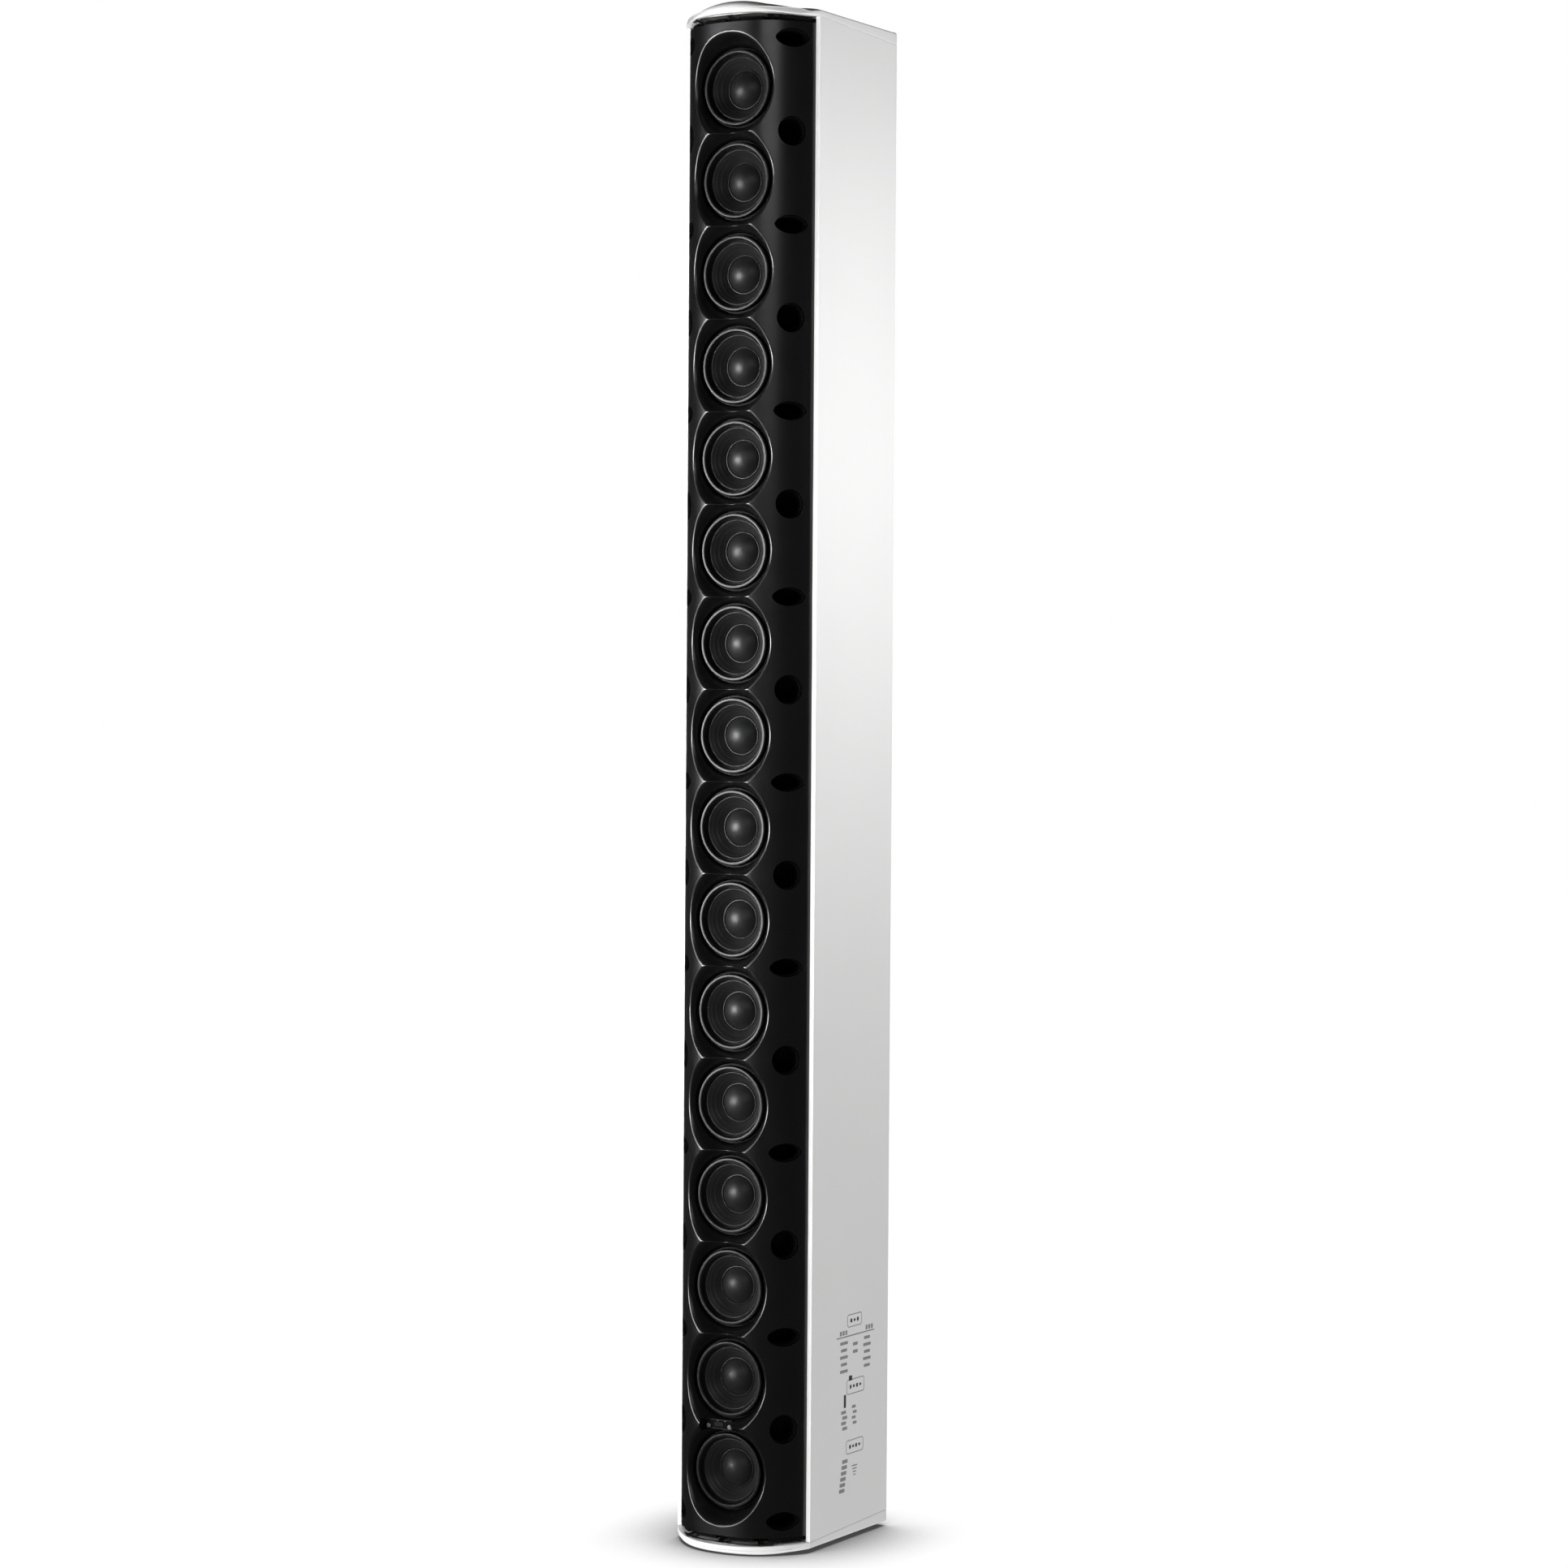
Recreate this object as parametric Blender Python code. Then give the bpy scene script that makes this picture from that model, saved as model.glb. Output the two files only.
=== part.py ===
"""Column loudspeaker: sixteen small full-range drivers in one tall powered enclosure.

Metres, +Z up. The drivers face -Y, and the origin is the centre of the base.
"""
import math

import bmesh
import bpy
from mathutils import Matrix, Vector

MM = 0.001

# Enclosure
WIDTH = 142.0 * MM
SIDE_DEPTH = 144.5 * MM        # flat side wall, front lip to back edge
FRONT_BULGE = 45.0 * MM        # how far the end caps stand forward of the lips
SIDE_HEIGHT = 1392.6 * MM      # side edge of the bottom cap to side edge of the top cap
CROWN = 4.0 * MM               # each cap rises this much more over its middle
CAP_FRONT = 5.8 * MM           # height of a cap's side edge at the front
CAP_BACK = 11.2 * MM           # and at the back, where the seam slopes away
WALL = 3.0 * MM
LIP_WIDTH = 4.2 * MM
GAP = 0.3 * MM                 # clearance between neighbouring pieces

# Drivers
DRIVERS = 16
PITCH = 83.7 * MM
SURROUND_Y = -24.5 * MM        # plane of the surround's edge, measured from the lips
SURROUND_RADIUS = 34.0 * MM
ROUND_SEGMENTS = 14

# Baffle
BAFFLE_RISE = 41.0 * MM        # crest of the curved front, forward of the lips
BAFFLE_POWER = 3.05            # how square the curved front's shoulders are
BAFFLE_BACK = -16.0 * MM       # flat back of the thick middle, from the lips
CROWN_FLAT = 0.4               # flat middle share of a cap's crowned face
CAP_POWER = 2.4                # the caps' front outline
POCKET_RADIUS = 37.0 * MM      # hole round each driver, where the cone-shaped pocket ends
POCKET_FLOOR = -21.4 * MM
POCKET_FLARE = 0.587           # radius gained per unit of depth, towards the front
PORT_RADIUS = 13.3 * MM
PORT_LENGTH = 32.0 * MM
PORT_HEIGHT = 17.0 * MM
PORT_ANGLE = math.radians(50.0)

# Slots for a grille's ends, and the spring clips that stand in them
GROOVE_HEIGHT = 6.0 * MM       # between each cap and the baffle's face
GROOVE_DEPTH = 4.5 * MM
NOTCH_WIDTH = 13.0 * MM        # deeper notch behind each clip
NOTCH_DEPTH = 9.5 * MM
CLIP_PLACES = (-39.0 * MM, 0.0, 39.0 * MM)
CLIP_HALF = 3.0 * MM
CLIP_TIP = -0.6 * MM           # front end of a clip, from the baffle's curved front
CLIP_ROOT = 8.2 * MM           # and its back end
CLIP_TIP_HEIGHT = 1.5 * MM     # below or above the cap's seam
CLIP_ROOT_HEIGHT = 4.2 * MM
STRIP_HALF = 48.0 * MM         # the strip that carries the clips
STRIP_FRONT = 0.4 * MM
STRIP_BACK = 4.0 * MM
STRIP_HEIGHT = 1.3 * MM

HALF = WIDTH / 2
FRONT_Y = -(SIDE_DEPTH + FRONT_BULGE) / 2
LIP_Y = FRONT_Y + FRONT_BULGE
BACK_Y = -FRONT_Y
HEIGHT = SIDE_HEIGHT + 2 * CROWN
MIDDLE_Z = HEIGHT / 2
BAFFLE_HALF = HALF - LIP_WIDTH - GAP
WEB_Y = LIP_Y + 52.0 * MM      # wall between the drivers' chamber and the electronics
REAR_PANEL_Y = BACK_Y - 3.0 * MM
RETURN_WIDTH = 11.0 * MM       # of the cabinet's rear returns, beside the rear panels
PANEL_DEPTH = 12.0 * MM        # heatsink and bracket plates, front to back
CONNECTOR_TOP = 236.0 * MM
LOWER_BRACKET_TOP = 300.0 * MM
UPPER_BRACKET_HEIGHT = 64.0 * MM
PANEL_SPACING = 2.0 * MM
MODULE_HALF = 52.0 * MM
TRUNK_LOW = 190.0 * MM
PORT_X = 54.0 * MM


# ---------------------------------------------------------------- building blocks

def clear_scene():
    """Empty the file of objects, meshes and materials."""
    for item in list(bpy.data.objects):
        bpy.data.objects.remove(item, do_unlink=True)
    for store in (bpy.data.meshes, bpy.data.materials):
        for item in list(store):
            store.remove(item)


def material(name, colour, roughness, metallic=0.0):
    """A plain Principled material."""
    made = bpy.data.materials.new(name)
    made.use_nodes = True
    shader = made.node_tree.nodes["Principled BSDF"]
    shader.inputs["Base Color"].default_value = (*colour, 1.0)
    shader.inputs["Roughness"].default_value = roughness
    shader.inputs["Metallic"].default_value = metallic
    made.diffuse_color = (*colour, 1.0)
    return made


def object_from(bm, name, surface, location=(0, 0, 0), smooth=False):
    """Turn a bmesh into a named object with outward normals."""
    bmesh.ops.recalc_face_normals(bm, faces=bm.faces)
    mesh = bpy.data.meshes.new(name)
    bm.to_mesh(mesh)
    bm.free()
    mesh.materials.append(surface)
    if smooth:
        mesh.shade_smooth()
        mesh.set_sharp_from_angle(angle=math.radians(35))
    made = bpy.data.objects.new(name, mesh)
    made.location = location
    bpy.context.scene.collection.objects.link(made)
    return made


def box(name, low, high, surface):
    """An upright block between two corners."""
    low, high = Vector(low), Vector(high)
    bm = bmesh.new()
    place = Matrix.Translation((low + high) / 2) @ Matrix.Diagonal((*(high - low), 1))
    bmesh.ops.create_cube(bm, size=1, matrix=place)
    return object_from(bm, name, surface)


def prism(name, outline, low_z, high_z, surface):
    """Extrude a plan outline upwards. The end heights are functions of y."""
    bm = bmesh.new()
    low = [bm.verts.new((x, y, low_z(y))) for x, y in outline]
    high = [bm.verts.new((x, y, high_z(y))) for x, y in outline]
    for a in range(len(outline)):
        b = (a + 1) % len(outline)
        bm.faces.new((low[a], low[b], high[b], high[a]))
    bm.faces.new(low[::-1])
    bm.faces.new(high)
    return object_from(bm, name, surface)


def turned(bm, profile, centre=(0, 0, 0), segments=ROUND_SEGMENTS):
    """Add a solid of revolution about +Y. The profile is (radius, y), closed along the axis."""
    rings = []
    for radius, y in profile:
        count = segments if radius > 0 else 1
        ring = []
        for step in range(count):
            turn = 2 * math.pi * step / segments
            point = Vector((radius * math.cos(turn), y, radius * math.sin(turn)))
            ring.append(bm.verts.new(point + Vector(centre)))
        rings.append(ring)
    for near, far in zip(rings, rings[1:] + rings[:1]):
        if len(near) == 1 and len(far) == 1:
            continue
        for step in range(segments):
            follow = (step + 1) % segments
            corners = [near[step % len(near)], near[follow % len(near)],
                       far[follow % len(far)], far[step % len(far)]]
            unique = list(dict.fromkeys(corners))
            bm.faces.new(unique)


def hide_cutter(cutter):
    """Keep a cutting tool out of the built object."""
    cutter.hide_render = True
    cutter.display_type = "WIRE"


def boolean(target, other, operation):
    """Cut or join with the exact solver."""
    step = target.modifiers.new(other.name, "BOOLEAN")
    step.operation = operation
    step.solver = "EXACT"
    step.object = other
    hide_cutter(other)


def front_curve(half_width, rise, power, count):
    """Points of the bulged front from right to left, bunched towards the steep shoulders."""
    points = []
    for step in range(count + 1):
        share = math.sin(math.pi * (0.5 - step / count))
        x = half_width * share
        points.append((x, LIP_Y - rise * (1 - abs(share) ** power)))
    return points


def front_at(x):
    """Y of the baffle's curved front at a given x."""
    return LIP_Y - BAFFLE_RISE * (1 - abs(x / BAFFLE_HALF) ** BAFFLE_POWER)


def driver_heights():
    """Centre heights of the drivers, from the top one down."""
    top = MIDDLE_Z + (DRIVERS - 1) / 2 * PITCH
    return [top - row * PITCH for row in range(DRIVERS)]


def seam(y):
    """Height of the sloping seam above the bottom cap's side edge, at a given y."""
    return CAP_FRONT + (CAP_BACK - CAP_FRONT) * (y - LIP_Y) / SIDE_DEPTH


def body_floor(y):
    """Lower end of the pieces that stand between the caps."""
    return CROWN + seam(y) + GAP


def body_ceiling(y):
    """Upper end of the pieces that stand between the caps."""
    return HEIGHT - body_floor(y)


# ---------------------------------------------------------------- enclosure

def make_cabinet(surface):
    """H-shaped aluminium extrusion: two side walls, front lips, rear returns and a middle web."""
    inner = HALF - WALL
    ledge_front = LIP_Y + 3.9 * MM
    ledge_back = LIP_Y + 7.0 * MM
    ledge_x = HALF - RETURN_WIDTH
    return_front = BACK_Y - 7.0 * MM
    return_x = HALF - RETURN_WIDTH
    web_front = WEB_Y
    web_back = WEB_Y + WALL
    corner = 2.0 * MM
    right = [
        (inner, web_front), (inner, ledge_back), (ledge_x, ledge_back), (ledge_x, ledge_front),
        (HALF - LIP_WIDTH, ledge_front), (HALF - LIP_WIDTH, LIP_Y), (HALF, LIP_Y),
        (HALF, BACK_Y - corner), (HALF - corner, BACK_Y), (return_x, BACK_Y),
        (return_x, return_front), (inner, return_front), (inner, web_back),
    ]
    left = [(-x, y) for x, y in reversed(right)]
    return prism("cabinet_extrusion", right + left, body_floor, body_ceiling, surface)


def make_cap(name, surface, top):
    """Solid end cap with a bulged front, a crowned face and a seam that slopes on its sides."""
    curve = front_curve(HALF, FRONT_BULGE, CAP_POWER, 16)
    columns = []
    bm = bmesh.new()

    def vertex(x, y, height):
        return bm.verts.new((x, y, HEIGHT - height if top else height))

    for x, front in curve:
        outer = CROWN * max(0.0, (abs(x) / HALF - CROWN_FLAT) / (1 - CROWN_FLAT)) ** 3
        columns.append({
            "face_front": vertex(x, front, outer),
            "face_back": vertex(x, BACK_Y, outer),
            "seam_back": vertex(x, BACK_Y, CROWN + seam(BACK_Y)),
            "seam_front": vertex(x, front, CROWN + seam(front)),
        })
    loop = ("face_front", "face_back", "seam_back", "seam_front")
    for near, far in zip(columns, columns[1:]):
        for start, stop in zip(loop, loop[1:] + loop[:1]):
            bm.faces.new((near[start], far[start], far[stop], near[stop]))
    for column in (columns[0], columns[-1]):
        bm.faces.new([column[key] for key in loop])
    return object_from(bm, name, surface)


def clip_frame(x):
    """Transform of a clip: its X runs along the curved front and its Y points straight back into it."""
    slope = math.atan2(front_at(x + MM) - front_at(x - MM), 2 * MM)
    return Matrix.Translation((x, front_at(x), 0)) @ Matrix.Rotation(slope, 4, "Z")


def make_clips(name, surface, top):
    """Spring strip under a cap, with three wedge clips that hold a grille's end."""
    steps = 12
    sweep = [STRIP_HALF * (1 - 2 * step / steps) for step in range(steps + 1)]
    outline = [(x, front_at(x) + STRIP_FRONT) for x in sweep]
    outline += [(x, front_at(x) + STRIP_BACK) for x in reversed(sweep)]

    def height(y, distance):
        rise = CROWN + seam(y) + distance
        return HEIGHT - rise if top else rise

    near, far = (STRIP_HEIGHT, GAP) if top else (GAP, STRIP_HEIGHT)
    strip = prism(name, outline, lambda y: height(y, near), lambda y: height(y, far), surface)
    low = GAP + 0.1 * MM
    side = [(CLIP_TIP, low), (CLIP_ROOT, low), (CLIP_ROOT, CLIP_ROOT_HEIGHT), (CLIP_TIP, CLIP_TIP_HEIGHT)]
    for number, x in enumerate(CLIP_PLACES):
        bm = bmesh.new()
        ends = []
        for edge in (-CLIP_HALF, CLIP_HALF):
            places = [(clip_frame(x) @ Vector((edge, back, 0)), distance) for back, distance in side]
            ends.append([bm.verts.new((place.x, place.y, height(place.y, distance)))
                         for place, distance in places])
        for a in range(4):
            b = (a + 1) % 4
            bm.faces.new((ends[0][a], ends[0][b], ends[1][b], ends[1][a]))
        bm.faces.new(ends[0])
        bm.faces.new(ends[1])
        boolean(strip, object_from(bm, f"cutter_{name}_{number}", surface), "UNION")
    return strip


# ---------------------------------------------------------------- baffle

def pocket_cutter(name, heights, surface):
    """Cone-shaped pockets that end in a straight hole for the driver."""
    far_front = FRONT_BULGE + 8 * MM
    depth = far_front + POCKET_FLOOR
    mouth = POCKET_RADIUS + POCKET_FLARE * depth
    profile = [
        (0, LIP_Y - far_front), (mouth, LIP_Y - far_front), (POCKET_RADIUS, LIP_Y + POCKET_FLOOR),
        (POCKET_RADIUS, LIP_Y + BAFFLE_BACK + 5 * MM), (0, LIP_Y + BAFFLE_BACK + 5 * MM),
    ]
    bm = bmesh.new()
    for z in heights:
        turned(bm, profile, (0, 0, z), segments=24)
    return object_from(bm, name, surface)


def port_outline(lens):
    """Outline of a side port in its own plane: a circle, or a lens between two arcs."""
    if not lens:
        return [(PORT_RADIUS * math.cos(math.pi * k / 6), PORT_RADIUS * math.sin(math.pi * k / 6))
                for k in range(12)]
    half, rise = PORT_LENGTH / 2, PORT_HEIGHT / 2
    upper = [(-half * math.cos(math.pi * k / 6), rise * math.sin(math.pi * k / 6) ** 1.2) for k in range(7)]
    return upper + [(u, -v) for u, v in upper[-2:0:-1]]


def port_cutter(surface):
    """Ports down both shoulders, one at each level between two drivers and at both ends."""
    bm = bmesh.new()
    top = driver_heights()[0] + PITCH / 2
    for side in (-1, 1):
        for row in range(DRIVERS + 1):
            outline = port_outline(lens=row % 2 == 0)
            across = Vector((side * math.cos(PORT_ANGLE), math.sin(PORT_ANGLE), 0))
            outward = Vector((side * math.sin(PORT_ANGLE), -math.cos(PORT_ANGLE), 0))
            height = top - row * PITCH
            height = min(max(height, body_floor(LIP_Y) + 19 * MM), body_ceiling(LIP_Y) - 19 * MM)
            centre = Vector((side * PORT_X, front_at(PORT_X), height))
            ends = []
            for reach in (-22 * MM, 14 * MM):
                ends.append([bm.verts.new(centre + across * u + outward * reach + Vector((0, 0, v)))
                             for u, v in outline])
            for a in range(len(outline)):
                b = (a + 1) % len(outline)
                bm.faces.new((ends[0][a], ends[0][b], ends[1][b], ends[1][a]))
            bm.faces.new(ends[0])
            bm.faces.new(ends[1])
    return object_from(bm, "cutter_ports", surface)


def groove_cutter(name, surface, low, high):
    """Slot across one end of the curved front, with a deeper notch behind each clip."""
    steps = 24
    reach, end_y = BAFFLE_HALF + MM, LIP_Y + 1.5 * MM
    sweep = [reach * (2 * step / steps - 1) for step in range(steps + 1)]
    outline = [(reach, FRONT_Y - 10 * MM), (-reach, FRONT_Y - 10 * MM)]
    outline += [(x, min(front_at(x) + GROOVE_DEPTH, end_y)) for x in sweep]
    slot = prism(name, outline, lambda y: low, lambda y: high, surface)
    for number, x in enumerate(CLIP_PLACES):
        bm = bmesh.new()
        front, back = -GROOVE_DEPTH, NOTCH_DEPTH
        middle = Vector((0, (front + back) / 2, (low + high) / 2))
        size = Matrix.Diagonal((NOTCH_WIDTH, back - front, high - low - 0.4 * MM, 1))
        bmesh.ops.create_cube(bm, size=1, matrix=clip_frame(x) @ Matrix.Translation(middle) @ size)
        boolean(slot, object_from(bm, f"{name}_notch_{number}", surface), "UNION")
    return slot


def make_baffle(surface):
    """Thick moulded front with bulged shoulders, sixteen pockets and two rows of ports."""
    curve = front_curve(BAFFLE_HALF, BAFFLE_RISE, BAFFLE_POWER, 14)
    edge_y = LIP_Y + 3.6 * MM
    inner = [(BAFFLE_HALF, edge_y), (62.5 * MM, edge_y), (62.5 * MM, LIP_Y + 1.5 * MM),
             (55.5 * MM, LIP_Y - 10.5 * MM), (52.5 * MM, LIP_Y + BAFFLE_BACK)]
    outline = curve + [(-x, y) for x, y in inner] + inner[::-1]
    baffle = prism("front_baffle", outline,
                   lambda y: body_floor(LIP_Y) + 1.6 * MM, lambda y: body_ceiling(LIP_Y) - 1.6 * MM, surface)
    floor, ceiling = body_floor(LIP_Y), body_ceiling(LIP_Y)
    for name, low, high in (("cutter_groove_low", floor - MM, floor + GROOVE_HEIGHT),
                            ("cutter_groove_high", ceiling - GROOVE_HEIGHT, ceiling + MM)):
        boolean(baffle, groove_cutter(name, surface, low, high), "DIFFERENCE")
    heights = driver_heights()
    boolean(baffle, pocket_cutter("cutter_pockets_even", heights[::2], surface), "DIFFERENCE")
    boolean(baffle, pocket_cutter("cutter_pockets_odd", heights[1::2], surface), "DIFFERENCE")
    boolean(baffle, port_cutter(surface), "DIFFERENCE")
    x, z, half_x, half_z = indicator_place()
    notch = box("cutter_indicator", (x - half_x, LIP_Y - 60 * MM, z - half_z),
                (x + half_x, LIP_Y - 22 * MM, z + half_z), surface)
    boolean(baffle, notch, "DIFFERENCE")
    return baffle


# ---------------------------------------------------------------- status indicator

def indicator_place():
    """Centre x and z, and half sizes, of the notch that holds the status indicator."""
    heights = driver_heights()
    return -9.0 * MM, (heights[-1] + heights[-2]) / 2, 15.0 * MM, 5.0 * MM


def make_indicator(housing_surface, lens_surface):
    """Small housing set in the ridge between the two lowest drivers, with a light window."""
    x, z, half_x, half_z = indicator_place()
    back = LIP_Y - 22 * MM - GAP
    front = LIP_Y - 28.5 * MM
    wide, tall = half_x - GAP, half_z - GAP
    housing = box("indicator_housing", (x - wide, front, z - tall), (x + wide, back, z + tall),
                  housing_surface)
    socket = box("cutter_indicator_window", (x - 5 * MM, front - 2 * MM, z - 2.5 * MM),
                 (x + 5 * MM, front + 2 * MM, z + 2.5 * MM), housing_surface)
    boolean(housing, socket, "DIFFERENCE")
    box("indicator_lens", (x - 4.7 * MM, front - 0.6 * MM, z - 2.2 * MM),
        (x + 4.7 * MM, front + 1.7 * MM, z + 2.2 * MM), lens_surface)


# ---------------------------------------------------------------- drivers

def make_driver(number, z, frame_surface, cone_surface):
    """One driver: a fixed basket with its magnet, and the diaphragm that slides in it."""
    r = SURROUND_RADIUS
    basket = [
        (0, 23 * MM), (11.9 * MM, 23 * MM), (11.9 * MM, 33 * MM), (14.3 * MM, 33 * MM),
        (14.3 * MM, 24.5 * MM), (r + 0.5 * MM, 11 * MM), (r + 0.5 * MM, 1.6 * MM),
        (r + 2.2 * MM, 1.6 * MM), (r + 2.2 * MM, 8.8 * MM), (r + 7.2 * MM, 8.8 * MM),
        (r + 7.2 * MM, 11.3 * MM), (30 * MM, 30 * MM), (30 * MM, 46 * MM), (0, 46 * MM),
    ]
    diaphragm = [
        (0, 5.5 * MM), (11.5 * MM, 8 * MM), (18.4 * MM, 13.0 * MM), (28.2 * MM, 3.4 * MM),
        (29.4 * MM, 3.8 * MM), (31.2 * MM, -3 * MM), (r - 0.9 * MM, -3 * MM), (r, -1 * MM),
        (r - 0.2 * MM, 2 * MM), (29.6 * MM, 6.4 * MM), (13.5 * MM, 19.5 * MM), (13.5 * MM, 28 * MM),
        (12.6 * MM, 28 * MM), (12.6 * MM, 15 * MM), (0, 10.5 * MM),
    ]
    origin = (0, LIP_Y + SURROUND_Y, z)
    for part, profile, surface in (("basket", basket, frame_surface), ("diaphragm", diaphragm, cone_surface)):
        bm = bmesh.new()
        turned(bm, profile)
        object_from(bm, f"driver_{number:02d}_{part}", surface, origin, smooth=True)


# ---------------------------------------------------------------- rear and electronics

def make_heatsink(surface, low, high):
    """Finned rear panel that cools the amplifiers."""
    half = HALF - RETURN_WIDTH - GAP
    plate_front = REAR_PANEL_Y - PANEL_DEPTH
    plate_back = REAR_PANEL_Y - 8 * MM
    fins = 11
    fin = 2.4 * MM
    spacing = (2 * half - fin) / (fins - 1)
    outline = [(-half, plate_front), (half, plate_front)]
    for number in reversed(range(fins)):
        left = -half + number * spacing
        outline += [(left + fin, REAR_PANEL_Y), (left, REAR_PANEL_Y)]
        if number:
            outline += [(left, plate_back), (left - spacing + fin, plate_back)]
    return prism("rear_heatsink", outline, lambda y: low, lambda y: high, surface)


def make_bracket_plate(name, surface, low, high):
    """Thick rear plate with four blind fixing holes for a wall bracket."""
    half = HALF - RETURN_WIDTH - GAP
    plate = box(name, (-half, REAR_PANEL_Y - PANEL_DEPTH, low), (half, REAR_PANEL_Y, high), surface)
    bm = bmesh.new()
    middle = (low + high) / 2
    for x in (-40 * MM, 40 * MM):
        for z in (middle - 18 * MM, middle + 18 * MM):
            profile = [(0, REAR_PANEL_Y - 9 * MM), (3 * MM, REAR_PANEL_Y - 9 * MM),
                       (3 * MM, REAR_PANEL_Y + 2 * MM), (0, REAR_PANEL_Y + 2 * MM)]
            turned(bm, profile, (x, 0, z), segments=12)
    boolean(plate, object_from(bm, f"cutter_{name}", surface), "DIFFERENCE")
    return plate


def make_connectors(plate_surface, black, metal, green, low, high):
    """Recessed plate at the foot of the rear, with its inlet, fuse, terminals and sockets."""
    half = HALF - RETURN_WIDTH - GAP
    front = REAR_PANEL_Y - 30 * MM
    back = front + 2 * MM
    plate = box("connector_plate", (-half, front, low), (half, back, high), plate_surface)
    items = (
        # name, x, z, width, height, stands out, goes in, material, socket width, height, depth
        ("mains_inlet", -22, 48, 48, 28, 3, 18, black, 24, 16, 14),
        ("fuse_holder", 30, 48, 16, 16, 8, 14, black, 0, 0, 0),
        ("audio_input_terminal", -22, 106, 46, 12, 8, 8, green, 36, 6, 9),
        ("contact_terminal", 30, 106, 26, 12, 8, 8, green, 18, 6, 9),
        ("network_socket_primary", -22, 164, 18, 16, 3, 16, metal, 12, 9, 13),
        ("network_socket_secondary", 14, 164, 18, 16, 3, 16, metal, 12, 9, 13),
    )
    for name, x, z, wide, tall, out, deep, surface, slot_wide, slot_tall, slot_deep in items:
        centre_x, centre_z = x * MM, z * MM
        half_wide, half_tall = wide * MM / 2, tall * MM / 2
        piece = box(name, (centre_x - half_wide, front - deep * MM, centre_z - half_tall),
                    (centre_x + half_wide, back + out * MM, centre_z + half_tall), surface)
        if slot_wide:
            half_slot, half_rise = slot_wide * MM / 2, slot_tall * MM / 2
            mouth = box(f"cutter_{name}",
                        (centre_x - half_slot, back + (out - slot_deep) * MM, centre_z - half_rise),
                        (centre_x + half_slot, back + (out + 2) * MM, centre_z + half_rise), surface)
            boolean(piece, mouth, "DIFFERENCE")
        hole = box(f"cutter_{name}_panel",
                   (centre_x - half_wide - GAP, front - MM, centre_z - half_tall - GAP),
                   (centre_x + half_wide + GAP, back + MM, centre_z + half_tall + GAP), surface)
        boolean(plate, hole, "DIFFERENCE")


def make_electronics(board, metal, wire):
    """Modules in the rear chamber: supply, two amplifier blocks, processor and wiring trunk."""
    front = WEB_Y + WALL + 1.0 * MM
    heatsink_face = REAR_PANEL_Y - PANEL_DEPTH - GAP
    modules = (
        # name, low z, high z, gap to the web
        ("power_supply", 330, 560, 8),
        ("amplifier_module_lower", 590, 820, 18),
        ("amplifier_module_upper", 850, 1080, 18),
    )
    for name, low, high, gap in modules:
        box(name, (-MODULE_HALF, front + gap * MM, low * MM), (MODULE_HALF, heatsink_face, high * MM), metal)
    board_front = front + 4 * MM
    box("signal_processor_board", (-50 * MM, board_front, TRUNK_LOW),
        (50 * MM, board_front + 10 * MM, 315 * MM), board)
    box("wiring_trunk", (55 * MM, front, TRUNK_LOW), (65 * MM, front + 12 * MM, 1330 * MM), wire)


# ---------------------------------------------------------------- assembly

def main():
    """Build every piece."""
    clear_scene()
    white = material("white_paint", (0.86, 0.86, 0.85), 0.42)
    cap_white = material("white_moulding", (0.88, 0.88, 0.87), 0.38)
    black = material("black_moulding", (0.018, 0.018, 0.019), 0.55)
    frame = material("driver_frame", (0.03, 0.03, 0.032), 0.45)
    cone = material("driver_cone", (0.05, 0.05, 0.053), 0.6)
    steel = material("spring_steel", (0.62, 0.61, 0.58), 0.35, 1.0)
    aluminium = material("black_aluminium", (0.06, 0.06, 0.065), 0.4, 1.0)
    zinc = material("zinc_plate", (0.62, 0.63, 0.65), 0.35, 1.0)
    green = material("terminal_green", (0.06, 0.32, 0.12), 0.5)
    board = material("circuit_board", (0.02, 0.12, 0.06), 0.5)
    wire = material("wiring_sleeve", (0.02, 0.02, 0.02), 0.7)
    lens = material("indicator_window", (0.55, 0.6, 0.55), 0.2)

    make_cabinet(white)
    make_cap("top_cap", cap_white, top=True)
    make_cap("bottom_cap", cap_white, top=False)
    make_clips("upper_grille_clips", steel, top=True)
    make_clips("lower_grille_clips", steel, top=False)
    make_baffle(black)
    make_indicator(black, lens)
    for number, z in enumerate(driver_heights(), start=1):
        make_driver(number, z, frame, cone)
    floor = CROWN + seam(BACK_Y) + GAP
    ceiling = HEIGHT - floor
    upper_bracket_low = ceiling - UPPER_BRACKET_HEIGHT
    make_connectors(aluminium, black, zinc, green, floor, CONNECTOR_TOP)
    make_bracket_plate("lower_bracket_plate", aluminium, CONNECTOR_TOP + PANEL_SPACING, LOWER_BRACKET_TOP)
    make_heatsink(aluminium, LOWER_BRACKET_TOP + PANEL_SPACING, upper_bracket_low - PANEL_SPACING)
    make_bracket_plate("upper_bracket_plate", aluminium, upper_bracket_low, ceiling)
    make_electronics(board, zinc, wire)


main()
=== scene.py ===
"""Looks of the column loudspeaker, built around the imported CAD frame. Metres, +Z up, drivers face -Y."""
import math

import bmesh
import bpy
import numpy as np
from mathutils import Matrix, Vector


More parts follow.
